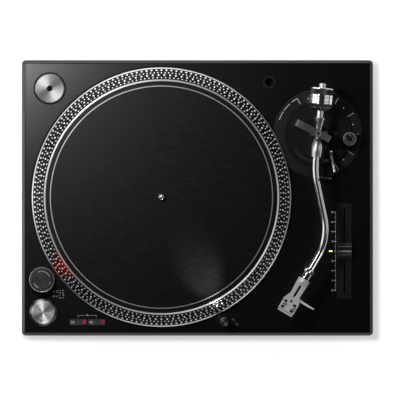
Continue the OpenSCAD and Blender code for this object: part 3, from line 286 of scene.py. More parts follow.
# Feet: turned plastic cups with three grip grooves, each standing on a soft rubber ring.
# They damp the deck and screw to the base cover.
def piece_from(name, shapes, place, material, body):
    """A new piece of one or more (points, faces) shapes, set by a matrix. It rides on a body."""
    verts, faces = joined(shapes)
    mesh = bpy.data.meshes.new(name)
    mesh.from_pydata(moved(verts, place), [], faces)
    mesh.materials.append(material)
    mesh.polygons.foreach_set("use_smooth", [True] * len(mesh.polygons))
    mesh.set_sharp_from_angle(angle=soft_angle)
    made = bpy.data.objects.new(name, mesh)
    bpy.context.collection.objects.link(made)
    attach(made, body)
    return made


def moved(verts, place):
    return [tuple(place @ Vector(v)) for v in verts]


def joined(shapes):
    """One list of points and one of faces from several (points, faces) shapes."""
    verts, faces = [], []
    for some_verts, some_faces in shapes:
        faces += [tuple(i + len(verts) for i in face) for face in some_faces]
        verts += some_verts
    return verts, faces


def lathe(profile, steps=128, ripple=None, closed=False):
    """A turned shape about Z. The profile is (radius, level) pairs, with the outside seen last.
    ripple(k, turn) adds to the radius of point k at a share of a turn."""
    verts, faces = [], []
    count = len(profile)
    for step in range(steps):
        turn = step / steps
        cos, sin = math.cos(turn * math.tau), math.sin(turn * math.tau)
        for k, (radius, level) in enumerate(profile):
            reach = radius + (ripple(k, turn) if ripple else 0.0)
            verts.append((reach * cos, reach * sin, level))
    for step in range(steps):
        after = (step + 1) % steps
        for k in range(count if closed else count - 1):
            k2 = (k + 1) % count
            faces.append((step * count + k, after * count + k, after * count + k2, step * count + k2))
    if not closed:
        faces.append(tuple(step * count for step in reversed(range(steps))))
        faces.append(tuple(step * count + count - 1 for step in range(steps)))
    return verts, faces


def near(radius, level, *steps):
    """Points of a profile, as steps from one radius and level."""
    return [(radius + out, level + up) for out, up in steps]


def upright(x, y, z=0.0):
    return Matrix.Translation((x, y, z))


here = Matrix.Identity(4)
foot_low, foot_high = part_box("feet")
foot_z, foot_top = foot_low[2], foot_high[2]
foot_r, foot_core_r, foot_neck_r = 0.030, 0.002, 0.027
foot_neck_z = foot_top - 0.006
groove_at, groove_gap, groove_w, groove_in = 0.0038, 0.0032, 0.0006, 0.0007
foot_profile = [(foot_core_r, foot_z)] + near(foot_r, foot_z, (-0.002, 0), (-0.0006, 0.0006), (0, 0.002))
for k in range(3):
    groove_z = foot_z + groove_at + k * groove_gap
    foot_profile += near(foot_r, groove_z, (0, -groove_w), (-groove_in, 0), (0, groove_w))
foot_profile += near(foot_r, foot_neck_z, (0, -0.0005), (-0.0005, 0))
foot_profile += [(foot_neck_r, foot_neck_z), (foot_neck_r, foot_top), (foot_core_r, foot_top)]
foot_verts, foot_faces = lathe(foot_profile, 96)
foot_places = [(x, y) for x in (foot_low[0] + foot_r, foot_high[0] - foot_r)
               for y in (foot_low[1] + foot_r, foot_high[1] - foot_r)]
four_feet = [(moved(foot_verts, upright(x, y)), foot_faces) for x, y in foot_places]
feet = piece_from("feet_turned", four_feet, here, moulded("foot_black", 34, 0.5), "chassis")
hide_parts("feet")
dress("foot_pads", moulded("pad_rubber", 20, 0.8, 0.0009, 0.00008), 0.0004)


# Plinth: a die-cast body with a bevelled top plate, sprayed satin black with a fine orange-peel texture.
# Every control and the arm's base stand in holes cut through its plate.
def facing_up(start):
    """How far the surface faces up, from its own normal."""
    normal = start.node("ShaderNodeTexCoord", out="Normal")
    return start.node("ShaderNodeSeparateXYZ", None, {0: normal}, "Z")


@as_material
def sprayed(start, level, rough, matt_below=0.0, bevel_highlight_level=0):
    """Sprayed satin paint on metal: orange peel, dust, wiped haze and a few hairline scuffs.
    Flat faces under the given level, in wells and grooves, are dry and dusty. Bevels get a painted highlight:
    their colour is lifted towards bevel_highlight_level."""
    peel = grain(start, 0.0011, 2.0)
    haze = grain(start, 0.09, 3.0)
    dust = grain(start, 0.0012, 1.0).clip(0.74, 0.8)
    scuff = grain(start, 0.0006, 5.0, (40, 1, 40)).clip(0.66, 0.74)
    level_z = start.node("ShaderNodeSeparateXYZ", None, {0: place_on(start)}, "Z")
    facing = facing_up(start)
    sunk = facing.clip(0.9, 0.95) * (1.0 - level_z.clip(matt_below - 0.0005, matt_below - 0.0001))
    # bevel picks the sloping faces by how they point; lifting their colour is a painted highlight.
    bevel = facing.clip(0.3, 0.4) * (1.0 - facing.clip(0.9, 0.95))
    paint = (0.2 * dust + 0.2 * scuff).mix(tone(level), tone(level * 2.4))
    return {
        "Base Color": (bevel * (0.8 + 0.4 * haze)).mix(paint, tone(max(bevel_highlight_level, level))),
        "Roughness": rough + 0.06 * haze + 0.12 * dust + 0.08 * scuff + 0.55 * sunk,
        "Specular IOR Level": 0.5,
        "Normal": bumps(start, peel, 0.00003, 0.5),
    }


# The deck's bevels get a painted highlight at level 66.
dress("plinth", sprayed("deck_black", 5, 0.22, matt_below=deck_level, bevel_highlight_level=66))


# Deck legends: screen printed in pale grey ink on the plinth's paint. Plain figures, brackets and dots mark
# the speeds, and a scale with nine ticks stands beside the pitch fader.
def middle(node):
    low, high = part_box(node)
    return (Vector(low) + Vector(high)) / 2


def stroke(x0, y0, x1, y1, width):
    """A flat line of ink from one place to another."""
    along = Vector((x1 - x0, y1 - y0)).normalized() * width / 2
    side = Vector((-along.y, along.x))
    ends = [Vector((x0, y0)) - along, Vector((x1, y1)) + along]
    corners = [ends[0] - side, ends[1] - side, ends[1] + side, ends[0] + side]
    return [(c.x, c.y, 0.0) for c in corners], [(0, 1, 2, 3)]


def arc_band(r0, r1, start, end, steps=48):
    """A flat band of ink between two radii and two angles in degrees."""
    verts = []
    for step in range(steps + 1):
        angle = math.radians(start + (end - start) * step / steps)
        verts += [(r * math.cos(angle), r * math.sin(angle), 0.0) for r in (r0, r1)]
    return verts, [(2 * k, 2 * k + 1, 2 * k + 3, 2 * k + 2) for k in range(steps)]


def dot(x, y, radius, steps=16):
    turns = [math.tau * k / steps for k in range(steps)]
    return [(x + radius * math.cos(a), y + radius * math.sin(a), 0.0) for a in turns], [tuple(range(steps))]


def figure(text, x, y, height, turn=0.0):
    """Printed figures, centred on a place. A figure stands 0.7 of the type size."""
    curve = bpy.data.curves.new("figure", "FONT")
    curve.body = text
    curve.size = height / 0.7
    curve.align_x = "CENTER"
    curve.resolution_u = 3
    holder = bpy.data.objects.new("figure", curve)
    bpy.context.collection.objects.link(holder)
    bpy.context.view_layer.update()
    flat = bpy.data.meshes.new_from_object(holder.evaluated_get(bpy.context.evaluated_depsgraph_get()))
    place = upright(x, y) @ Matrix.Rotation(turn, 4, "Z") @ upright(0, -height / 2)
    shape = moved([v.co for v in flat.vertices], place), [tuple(p.vertices) for p in flat.polygons]
    bpy.data.objects.remove(holder)
    bpy.data.curves.remove(curve)
    bpy.data.meshes.remove(flat)
    return shape


def printed(name, shapes, level, body, material, x=0.0, y=0.0):
    """Ink on a surface at the given level, as a film just above it."""
    ink_film = 0.00004
    return piece_from(name, shapes, upright(x, y, level + ink_film), material, body)


# This recipe also makes painted shade and a painted highlight: slot_shadow and the crest highlight are not
# print.
@as_material
def ink(start, level):
    """Screen ink: slightly uneven in cover, dry and matt."""
    cover = grain(start, 0.0004, 3.0)
    return {
        "Base Color": cover.clip(0.25, 0.6).mix(tone(level * 0.86), tone(level)),
        "Roughness": 0.5 + 0.2 * cover,
        "Normal": bumps(start, cover, 0.00001, 0.4),
    }


pale_ink = ink("pale_ink", 244)
line_w = 0.0004
speed_33, speed_45 = middle("speed_button_33"), middle("speed_button_45")
speed_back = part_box("speed_button_33")[1][1]
bracket_low, bracket_top, bracket_gap = speed_back + 0.0006, speed_back + 0.0032, 0.0034
bracket_mid = (speed_33.x + speed_45.x) / 2
legend = [
    stroke(speed_33.x, bracket_low, speed_33.x, bracket_top, line_w),
    stroke(speed_33.x, bracket_top, bracket_mid - bracket_gap, bracket_top, line_w),
    stroke(bracket_mid + bracket_gap, bracket_top, speed_45.x, bracket_top, line_w),
    stroke(speed_45.x, bracket_low, speed_45.x, bracket_top, line_w),
    figure("78", bracket_mid, bracket_top + 0.0003, 0.0026),
]
tower_mid = middle("strobe_tower")
fork_x = tower_mid.x + 0.0152
fork_from, fork_to, fork_dot, fork_speed = fork_x + 0.0026, fork_x + 0.0058, fork_x + 0.0080, fork_x + 0.0116
mains_h, speed_h = 0.0019, 0.0017
for row_y, mains in ((tower_mid.y - 0.0154, "50"), (tower_mid.y - 0.0215, "60")):
    legend.append(figure(mains, fork_x, row_y, mains_h))
    for rise, speed, dot_r in ((0.0016, "45", 0.00045), (-0.0016, "33", 0.00075)):
        legend += [stroke(fork_from, row_y, fork_to, row_y + rise, line_w * 0.7),
                   dot(fork_dot, row_y + rise, dot_r), figure(speed, fork_speed, row_y + rise, speed_h)]
printed("speed_legend", legend, deck_level, "chassis", ink("faint_ink", 196))
pitch_mid = middle("pitch_panel")
scale_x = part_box("pitch_panel")[0][0] - 0.0026
scale_step, scale_half, scale_figure_h = 0.0125, 0.0500, 0.0026
tick_zero, tick_long, tick_short, scale_figure_x = (scale_x - gap for gap in (0.0012, 0.0020, 0.0014, 0.0045))
scale = [stroke(scale_x, pitch_mid.y - scale_half, scale_x, pitch_mid.y + scale_half, line_w * 0.6),
         stroke(tick_zero, pitch_mid.y, scale_x, pitch_mid.y, line_w * 2)]
for k in range(-4, 5):
    mark_y = pitch_mid.y + k * scale_step
    if k:
        scale.append(figure(str(abs(2 * k)), scale_figure_x, mark_y, scale_figure_h))
        scale.append(stroke(tick_long, mark_y, scale_x, mark_y, line_w * 2))
    if k < 4:
        half_y = mark_y + scale_step / 2
        scale.append(stroke(tick_short, half_y, scale_x, half_y, line_w * 0.8))
printed("pitch_scale", scale, deck_level, "chassis", pale_ink)


# Rear connectors: a moulded pocket in the back wall holds two gold plated jacks, an earth post with its thumb
# nut, a slide switch, a sheet steel data socket and the mains inlet.
dress("rear_panel", moulded("pocket_black", 26, 0.5))
dress("rca_jacks", metal("jack_gold", 214, 0.2, tint=(1.0, 0.79, 0.42)), 0.0002)
dress("ground_nut", metal("nut_steel", 200, 0.3, (1, 9, 1), 0.0003))
dress("line_switch", moulded("switch_black", 40, 0.42), 0.0002)
dress("usb_port", metal("socket_steel", 180, 0.34, (8, 1, 1), 0.0004), 0.0001)
dress("ac_inlet", moulded("inlet_black", 24, 0.4), 0.0002)


# Motor and circuit boards: a pressed frame carries the stator board, its flat coils and the brass bearing.
# The supply and the control board stand on posts inside, out of sight under the deck.
@as_material
def lacquered(start, level, tint):
    """Board or winding under a clear lacquer: tracks or turns show as fine lines."""
    line = grain(start, 0.0007, 2.0, (6, 1, 1)).clip(0.45, 0.55)
    return {
        "Base Color": line.mix(tone(level * 0.75, tint), tone(level, tint)),
        "Roughness": 0.4 + 0.1 * line,
        "Coat Weight": 0.3,
        "Normal": bumps(start, line, 0.00003, 0.5),
    }


board_green = lacquered("board_green", 110, (0.28, 1.0, 0.45))
dress("stator_board", board_green, 0)
dress("main_board", board_green, 0)
dress("power_supply", lacquered("supply_board", 120, (1.0, 0.82, 0.45)), 0.0002)
dress("stator_coils", lacquered("coil_copper", 170, (1.0, 0.5, 0.24)))
dress("motor_frame", metal("cast_grey", 130, 0.5))
dress("bearing_housing", metal("bearing_brass", 190, 0.3, tint=(1.0, 0.78, 0.4)))
dress("rotor_magnet", moulded("magnet_black", 44, 0.6))


# Spindle: ground steel, pressed into the platter's hub and running in the brass bearing. Its rounded pin
# stands up through the mat and centres the record.
def radius_on(start, centre):
    """How far the point lies from the upright axis through a centre."""
    offset = start.vector("SUBTRACT", place_on(start), (centre.x, centre.y, 0))
    return start.vector("LENGTH", start.vector("MULTIPLY", offset, (1, 1, 0)), out="Value")


@as_material
def spun(start, centre, level, rough, drawn=0.95, shade=None):
    """Metal faced on a lathe about its own middle: fine rings that spread each lamp into a bow tie.
    shade(start, radius) may give a finish of its own."""
    ring_pitch = 0.0003
    radius = radius_on(start, centre)
    rings = {"W": radius / ring_pitch, "Scale": 1.0}
    ring = start.node("ShaderNodeTexNoise", {"noise_dimensions": "1D"}, rings)
    smear = grain(start, 0.012, 4.0).clip(0.4, 0.8)
    made = {
        "Base Color": ring.clip(0.3, 0.7).mix(tone(level * 0.92), tone(min(level * 1.06, 255))),
        "Metallic": 1.0,
        "Roughness": rough + 0.04 * ring + 0.03 * smear,
        "Anisotropic": drawn,
        "Anisotropic Rotation": 0.25,
        "Normal": bumps(start, ring, 0.000004, 0.5),
    }
    made.update(shade(start, radius) if shade else {})
    return made


spindle_mid = middle("spindle")
on_spindle = upright(spindle_mid.x, spindle_mid.y)
dress("spindle", spun("spindle_steel", spindle_mid, 205, 0.22, 0.6), 0.0002)


# Platter: die-cast aluminium, turned bright. The slope between its lip and its top ring is lacquered black,
# and four rows of dots are left bare there for the strobe lamp.
def round_of(node):
    """The radius of a round node, and the levels of its foot and top."""
    low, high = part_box(node)
    return (high[0] - low[0]) / 2, low[2], high[2]


def turned_piece(name, profile, place, material, body, steps=128, ripple=None, closed=False):
    """A piece turned about the Z axis of its place."""
    return piece_from(name, [lathe(profile, steps, ripple, closed)], place, material, body)


platter_r, platter_foot, platter_top = round_of("platter")
lip_bevel, lip_h = 0.0012, 0.0022
foot_of_slope = (platter_r - lip_bevel, platter_foot + lip_h + lip_bevel)
head_of_slope = (0.151, platter_top)


def strobe_black(start, radius):
    """Black lacquer between the foot and the head of the slope, and on the seat of the mat."""
    inside = radius.clip(head_of_slope[0] - 0.0005, head_of_slope[0] - 0.0004)
    outside = 1.0 - radius.clip(foot_of_slope[0] - 0.0003, foot_of_slope[0] - 0.0002)
    seat = 1.0 - radius.clip(head_of_slope[0] - 0.0026, head_of_slope[0] - 0.0025)
    black = (inside * outside + seat) * facing_up(start).clip(0.2, 0.4)
    haze = grain(start, 0.03, 4.0)
    return {
        "Base Color": black.mix(tone(222), tone(7)),
        "Metallic": 1.0 - black,
        "Roughness": black * (0.36 + 0.1 * haze) + (1.0 - black) * (0.43 + 0.08 * haze),
        "Specular IOR Level": 0.17,
    }


platter = dress("platter", spun("platter_metal", spindle_mid, 205, 0.4, 0.75, strobe_black))
skin, lip_foot, lip_tuck, lip_lap = 0.00004, 0.0004, 0.0005, 0.0003
lip_profile = near(platter_r, platter_foot, (-lip_tuck, lip_foot), (skin, lip_foot), (skin, lip_h + skin))
lip_profile += near(*foot_of_slope, (0, skin), (-lip_lap, skin), (-lip_lap, -lip_tuck))
lip_bright = metal("lip_bright", 226, 0.36, (1, 1, 6), 0.0004)
lip = turned_piece("platter_lip", lip_profile, on_spindle, lip_bright, "platter", 360,
                   closed=True)


def on_slope(radius, lift):
    """A place just off the slope: its radius and level."""
    run, rise = foot_of_slope[0] - head_of_slope[0], head_of_slope[1] - foot_of_slope[1]
    level = foot_of_slope[1] + (foot_of_slope[0] - radius) / run * rise
    away = Vector((rise, run)).normalized() * lift
    return radius + away.x, level + away.y


def strobe_dot(radius, turn, half):
    """A bare dot on the slope: a low round boss with a broken edge."""
    boss_h, sides = 0.00012, 10
    verts = []
    for reach, lift in ((half, 0.0), (half * 0.86, boss_h)):
        for k in range(sides):
            angle = math.tau * k / sides
            r, level = on_slope(radius + reach * math.sin(angle), lift)
            swing = turn + reach * math.cos(angle) / radius
            verts.append((spindle_mid.x + r * math.cos(swing), spindle_mid.y + r * math.sin(swing), level))
    faces = [(k, (k + 1) % sides, sides + (k + 1) % sides, sides + k) for k in range(sides)]
    return verts, faces + [tuple(range(sides, 2 * sides))]


@as_material
def blasted(start, level, rough, bare):
    """Bead blasted metal: dense tiny dimples and a dry sheen."""
    dimple = start.node("ShaderNodeTexVoronoi", None, {"Vector": place_on(start), "Scale": 2600.0})
    cloud = grain(start, 0.01, 3.0)
    return {
        "Base Color": dimple.clip(0.1, 0.7).mix(tone(level * 0.88), tone(level)),
        "Metallic": bare,
        "Roughness": rough + 0.1 * cloud,
        "Normal": bumps(start, dimple, 0.00005, 0.7),
    }


dot_rows = ((0.1626, 160, 0.00115), (0.1592, 216, 0.0008), (0.1562, 133, 0.00115), (0.1528, 180, 0.0008))
dots = [strobe_dot(radius, -math.pi / 2 + math.tau * k / count, half)
        for radius, count, half in dot_rows for k in range(count)]
dot_metal = blasted("dot_metal", 244, 0.5, 0.3)
strobe_dots = piece_from("strobe_dots", dots, here, dot_metal, "platter")
for shiny in (platter, lip, strobe_dots):
    bright_metal.objects.link(shiny)


# Slipmat: a disc of pressed black felt with a glazed face and one printed ring near its edge. It lies loose
# on the platter, inside the raised ring, so that the record can be held while the platter turns.
mat_r, mat_foot, mat_top = round_of("slipmat")
mat_hole_r, mat_edge = 0.00405, 0.0004
print_r, print_w = 0.1421, 0.0012


@as_material
def felt(start):
    """Pressed felt: fibres, tufts, lint and the faint lines of its backing, with the printed ring."""
    from_print = radius_on(start, spindle_mid) - print_r
    ring = 1.0 - from_print.maths("ABSOLUTE", from_print).clip(print_w * 0.45, print_w * 0.55)
    fibre = grain(start, 0.0004, 4.0, (3, 1, 1)) * 0.5 + grain(start, 0.0004, 4.0, (1, 3, 1)) * 0.5
    tuft = grain(start, 0.0016, 3.0)
    lint = grain(start, 0.0007, 2.0).clip(0.74, 0.82)
    cloud = grain(start, 0.06, 3.0).clip(0.3, 0.7)
    weave = grain(start, 0.0013, 2.0, (7, 1, 1)).clip(0.35, 0.65)
    cloth = (0.4 * lint + 0.2 * tuft + 0.2 * weave).mix(cloud.mix(tone(4), tone(6)), tone(20))
    return {
        "Base Color": (ring * (0.7 + 0.4 * fibre)).mix(cloth, tone(196)),
        "Metallic": 0.75 * ring,
        "Roughness": 0.225 + 0.1 * tuft + 0.06 * fibre + 0.05 * weave,
        "Specular IOR Level": 0.3,
        "Normal": bumps(start, 0.6 * fibre + 0.4 * tuft, 0.00008, 0.5),
    }


mat_profile = [(mat_hole_r, mat_foot)] + near(mat_r, mat_foot, (-mat_edge, 0), (0, mat_edge))
mat_profile += near(mat_r, mat_top, (0, -mat_edge), (-mat_edge, 0))
mat_profile += [(mat_r * k / 6, mat_top) for k in range(5, 0, -1)] + [(mat_hole_r, mat_top)]
mat_felt = felt("mat_felt")
slipmat = turned_piece("slipmat_felt", mat_profile, on_spindle, mat_felt, "slipmat", 192,
                       closed=True)
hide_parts("slipmat")


# Strobe tower and power switch: a black turret with a red lamp behind a window that faces the platter's dots.
# A turned knob on its top switches the deck on. Its rim is knurled and its marks are printed.
@as_material
def glowing(start, colour, strength):
    """A lit lens of tinted acrylic: bright in its middle, with moulded flutes."""
    flute = grain(start, 0.0006, 1.0, (1, 1, 12))
    return {
        "Base Color": flute.clip(0.2, 0.8).mix(colour, tuple(min(c * 1.3, 1.0) for c in colour)),
        "Roughness": 0.12 + 0.1 * flute,
        "Emission Color": flute.clip(0.0, 1.0).mix(tuple(c * 0.8 for c in colour), colour),
        "Emission Strength": strength,
        "Normal": bumps(start, flute, 0.00006, 0.5),
    }


def small_lamp(name, body, place, target, power, colour, size, spread):
    """A lamp bulb inside a piece, which moves with it. The spread is in degrees."""
    data = bpy.data.lights.new(name, "SPOT")
    data.energy = power
    data.color = colour
    data.shadow_soft_size = size
    data.spot_size = math.radians(spread)
    data.spot_blend = 1.0
    data.use_shadow = False
    lamp = aim(bpy.data.objects.new(name, data), place, target)
    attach(lamp, body)
    return lamp


def coined(teeth, depth, rows):
    """A ripple for lathe: teeth cut across the given rows of a profile."""
    def ripple(k, turn):
        return -depth * (0.5 - 0.5 * math.cos(turn * math.tau * teeth)) if k in rows else 0.0
    return ripple


dress("strobe_tower", moulded("tower_black", 22, 0.38))
strobe_red = (1.0, 0.03, 0.02, 1)
dress("strobe_lens", glowing("lens_red", strobe_red, 0.06), 0)
strobe_place = Vector((tower_mid.x, tower_mid.y, middle("strobe_lens").z + 0.020))
strobe_target = (spindle_mid.x, spindle_mid.y, strobe_place.z)
strobe_bulb = small_lamp("strobe_bulb", "chassis", strobe_place, strobe_target,
                         power=0.04, colour=strobe_red[:3], size=0.01, spread=66)
strobe_wash = small_lamp("strobe_wash", "chassis", strobe_place, strobe_target,
                         power=3.0, colour=strobe_red[:3], size=0.01, spread=84)
strobe_wash.visible_glossy = False
light_only("lit_by_strobe", [strobe_bulb], [platter, strobe_dots])
light_only("washed", [strobe_wash], [platter])
core_r = 0.0002
knob_r, knob_foot, knob_top = round_of("power_knob")
knob_skirt = knob_top - 0.008
knob_stem_r, knob_bevel = 0.005, 0.0024
knob_rim = knob_top - knob_bevel
knob_place = upright(tower_mid.x, tower_mid.y)
knurl_teeth, knurl_depth = 72, 0.0003
knob_profile = [(core_r, knob_foot), (knob_stem_r, knob_foot), (knob_stem_r, knob_skirt)]
knob_profile += near(knob_r, knob_skirt, (-0.0005, 0), (0, 0.0005))
knob_profile += near(knob_r, knob_rim, (0, -0.0010), (-0.0003, 0))
knob_profile += near(knob_r - knob_bevel, knob_top, (0, -0.0003), (-0.0003, 0)) + [(core_r, knob_top)]
knob_grey = spun("knob_grey", tower_mid, 66, 0.5, 0.3)
power_knob = turned_piece("power_knob_turned", knob_profile, knob_place, knob_grey, "power_knob",
                          4 * knurl_teeth, coined(knurl_teeth, knurl_depth, (4, 5)))
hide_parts("power_knob")
rim_profile = near(knob_r, knob_rim, (-0.0004, -0.0002), (-0.0001, 0.0001), (-0.0005, 0.0006),
                   (-0.0010, 0.0005))
rim_bright = blasted("rim_bright", 180, 0.3, 0.5)
turned_piece("power_knob_rim", rim_profile, knob_place, rim_bright, "power_knob", closed=True)
word_h = 0.0016
knob_marks = [arc_band(0.0104, 0.0111, 20, 118), arc_band(0.0102, 0.0113, 204, 246),
              stroke(-0.0022, 0.0108, 0.0, 0.0108, 0.0009),
              figure("ON", 0.0104, -0.0042, word_h, math.radians(70)),
              figure("OFF", -0.0074, -0.0086, word_h, math.radians(-42))]
printed("power_marks", knob_marks, knob_top, "power_knob", ink("knob_ink", 190), tower_mid.x, tower_mid.y)


# Start and stop button: a heavy turned disc in a bevelled ring. It is faced on a lathe, so it shows a bow tie
# of light, and it has plain signs for play and pause.
start_mid = middle("start_button")
start_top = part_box("start_button")[1][2]
bezel_r, bezel_foot, bezel_top = round_of("start_bezel")
bezel_bore_r, bezel_sleeve_r, bezel_round, bezel_edge = bezel_r - 0.0022, bezel_r - 0.0012, 0.0014, 0.0003
bezel_profile = [(bezel_bore_r, bezel_foot), (bezel_sleeve_r, bezel_foot), (bezel_sleeve_r, deck_level),
                 (bezel_r, deck_level)]
bezel_profile += [(bezel_r - bezel_round * (1 - math.cos(a)), bezel_top - bezel_round * (1 - math.sin(a)))
                  for a in [math.pi / 2 * k / 6 for k in range(7)]]
bezel_profile += near(bezel_bore_r, bezel_top, (bezel_edge, 0), (0, -bezel_edge))
bezel = turned_piece("start_bezel_turned", bezel_profile, upright(start_mid.x, start_mid.y),
                     spun("bezel_metal", start_mid, 120, 0.25), "chassis", 160, closed=True)
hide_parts("start_bezel")
bright_metal.objects.link(bezel)
dress("start_button", spun("start_metal", start_mid, 236, 0.5))
sign, sign_y, sign_w = 0.0016, -0.0103, 0.0006
play_x, pause_x = -0.0035, (0.0012, 0.0028)
play = [(play_x, sign_y - sign, 0), (play_x + 1.7 * sign, sign_y, 0), (play_x, sign_y + sign, 0)], [(0, 1, 2)]
pause = [stroke(x, sign_y - sign * 0.6, x, sign_y + sign * 0.6, sign_w) for x in pause_x]
button_ink = ink("button_ink", 40)
printed("start_signs", [play] + pause, start_top, "start_button", button_ink, start_mid.x, start_mid.y)


# Speed buttons: two grey moulded bars with printed figures and a red lamp window at the right end of each.
# Both windows glow, the first a little brighter.
button_grey = moulded("button_grey", 52, 0.36, 0.0004)
window_x, window_w, window_d, window_deep = 0.0082, 0.0058, 0.0045, 0.001
window_fit = 0.98
pane_profile = [(0.0001, 0.0), (0.707, 0.0), (0.707, 0.8), (0.62, 0.92), (0.0001, 0.92)]
pane_size = Matrix.Diagonal((window_w * window_fit, window_d * window_fit, window_deep, 1))
speed_figure_x, speed_figure_h = -0.0068, 0.0034
for node, body, text, window in (
        ("speed_button_33", "speed_33", "33", glowing("lamp_red_lit", (0.22, 0.02, 0.05, 1), 0.42)),
        ("speed_button_45", "speed_45", "45", glowing("lamp_red_dim", (0.19, 0.02, 0.045, 1), 0.36))):
    dress(node, button_grey, 0.0004)
    cap_top, cap_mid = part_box(node)[1][2], middle(node)
    speed_figure = figure(text, cap_mid.x + speed_figure_x, cap_mid.y, speed_figure_h)
    printed(node + "_figure", [speed_figure], cap_top, body, pale_ink)
    pane_place = upright(cap_mid.x + window_x, cap_mid.y, cap_top - window_deep)
    pane_place = pane_place @ pane_size @ Matrix.Rotation(math.pi / 4, 4, "Z")
    turned_piece(node + "_window", pane_profile, pane_place, window, body, 4)


# Stylus lamp: a slim grey tube that pops up from its sleeve, with a clear lens near its top that lights the
# record. A round button beside it sends it down, and a flat escutcheon frames both.
lamp_axis, lens_mid = middle("stylus_lamp"), middle("lamp_lens")
dress("stylus_lamp", spun("lamp_grey", lamp_axis, 96, 0.42), 0.0005)
dress("lamp_lens", glowing("lens_clear", (0.9, 0.94, 1.0, 1), 0.5), 0)
dress("lamp_escutcheon", sprayed("trim_black", 5, 0.24), 0.0004)
dress("lamp_button", spun("lamp_button_grey", middle("lamp_button"), 58, 0.42), 0.0006)
lens_out = (lens_mid - lamp_axis).to_2d().normalized()
bulb_place = lens_mid + Vector((*(lens_out * 0.002), 0))
bulb_target = lens_mid + Vector((*(lens_out * 0.06), -0.014))
small_lamp("stylus_bulb", "stylus_lamp", bulb_place, bulb_target,
           power=0.09, colour=(0.9, 0.92, 1.0), size=0.003, spread=80)
beam_rise, beam_reach, beam_turn = 0.06, 0.070, math.radians(114)
beam_place = Vector((lamp_axis.x, lamp_axis.y, mat_top + beam_rise))
beam_way = Vector((math.cos(beam_turn) * beam_reach, math.sin(beam_turn) * beam_reach, -beam_rise))
stylus_beam = small_lamp("stylus_beam", "stylus_lamp", beam_place, beam_place + beam_way,
                         power=3.4, colour=(0.92, 0.9, 1.0), size=0.003, spread=42)
stylus_beam.visible_glossy = False
light_only("lit_by_beam", [stylus_beam], [slipmat])


# Pitch fader: a black panel with a long slot, and a saddle shaped knob with ridges that slides along it.
# A small yellow-green window beside it lights at the middle of the travel.
def slab(x0, x1, half, z0, z1):
    """A block from x0 to x1, as wide as twice half."""
    verts = [(x, y, z) for z in (z0, z1) for x, y in ((x0, -half), (x1, -half), (x1, half), (x0, half))]
    return verts, [(3, 2, 1, 0), (4, 5, 6, 7)] + [(k, (k + 1) % 4, 4 + (k + 1) % 4, 4 + k) for k in range(4)]


dress("pitch_panel", sprayed("panel_black", 12, 0.36), 0.0002)
dress("fader_track", metal("track_steel", 120, 0.4, (1, 9, 1), 0.0004), 0.0002)
dress("pitch_lamp", glowing("lens_green", (0.8, 0.95, 0.36, 1), 1.2), 0.0002)
fader_low, fader_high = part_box("fader_knob")
fader_mid = middle("fader_knob")
fader_x, fader_y = (fader_high[0] - fader_low[0]) / 2, (fader_high[1] - fader_low[1]) / 2
fader_h, saddle_h, skirt_h, fader_edge = 0.0095, 0.0076, 0.0036, 0.0003
fader_base = fader_high[2] - fader_h
ridges, ridge_deep = 5, 0.00035
slope_low, slope_top = (fader_y - 0.0004, 0.0042), (0.0062, 0.0093)
# Half of its outline seen from the side: up the ridged slope to the crest, and down into the saddle.
fader_side = [(fader_y, skirt_h)]
for k in range(ridges * 2 + 1):
    share = k / (ridges * 2)
    fader_side.append(tuple(a + (b - a) * share - (ridge_deep if k % 2 else 0.0)
                            for a, b in zip(slope_low, slope_top)))
fader_side += [(0.0056, fader_h), (0.0013, saddle_h)]
fader_outline = [(-fader_y, 0.0), (fader_y, 0.0)] + fader_side + [(-y, z) for y, z in reversed(fader_side)]
fader_verts, fader_faces = [], []
for x, inset in ((-fader_x, fader_edge), (fader_edge - fader_x, 0.0), (fader_x - fader_edge, 0.0),
                 (fader_x, fader_edge)):
    fader_verts += [(x, y * (1 - inset / fader_y), fader_base + z - (inset if z > 0.003 else 0))
                    for y, z in fader_outline]
count = len(fader_outline)
for band in range(0, 3 * count, count):
    fader_faces += [(band + k, band + (k + 1) % count, band + count + (k + 1) % count, band + count + k)
                    for k in range(count)]
fader_faces += [tuple(reversed(range(count))), tuple(range(3 * count, 4 * count))]
stem = slab(-0.001, 0.001, 0.004, fader_low[2], fader_base)
fader = piece_from("fader_knob_ridged", [(fader_verts, fader_faces), stem], upright(fader_mid.x, fader_mid.y),
                   moulded("fader_grey", 40, 0.3, 0.0004), "fader")
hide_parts("fader_knob")
# The centre line is the knob's printed mark. The pale stroke along the crest is a painted highlight, where
# the ridge would catch the light.
for name, y, level, share, width, line_ink in (
        ("fader_line", 0.0, saddle_h, 0.92, 0.0015, ink("line_ink", 170)),
        ("fader_crest", 0.0058, fader_h, 0.9, 0.0006, ink("crest_highlight", 160))):
    line = stroke(-fader_x * share, y, fader_x * share, y, width)
    printed(name, [line], fader_base + level, "fader", line_ink, fader_mid.x, fader_mid.y)


# 45 adaptor: a turned aluminium disc for records with a large hole.
# It lies loose in its well and is lifted out when it is needed.
dress("adaptor_45", spun("turned_metal", middle("adaptor_45"), 146, 0.37), 0.0004)


# Headshell stand: a moulded black socket for the plug of a spare headshell.
# It is pressed into a hole in the deck.
dress("headshell_stand", moulded("stand_black", 18, 0.35), 0.0002)


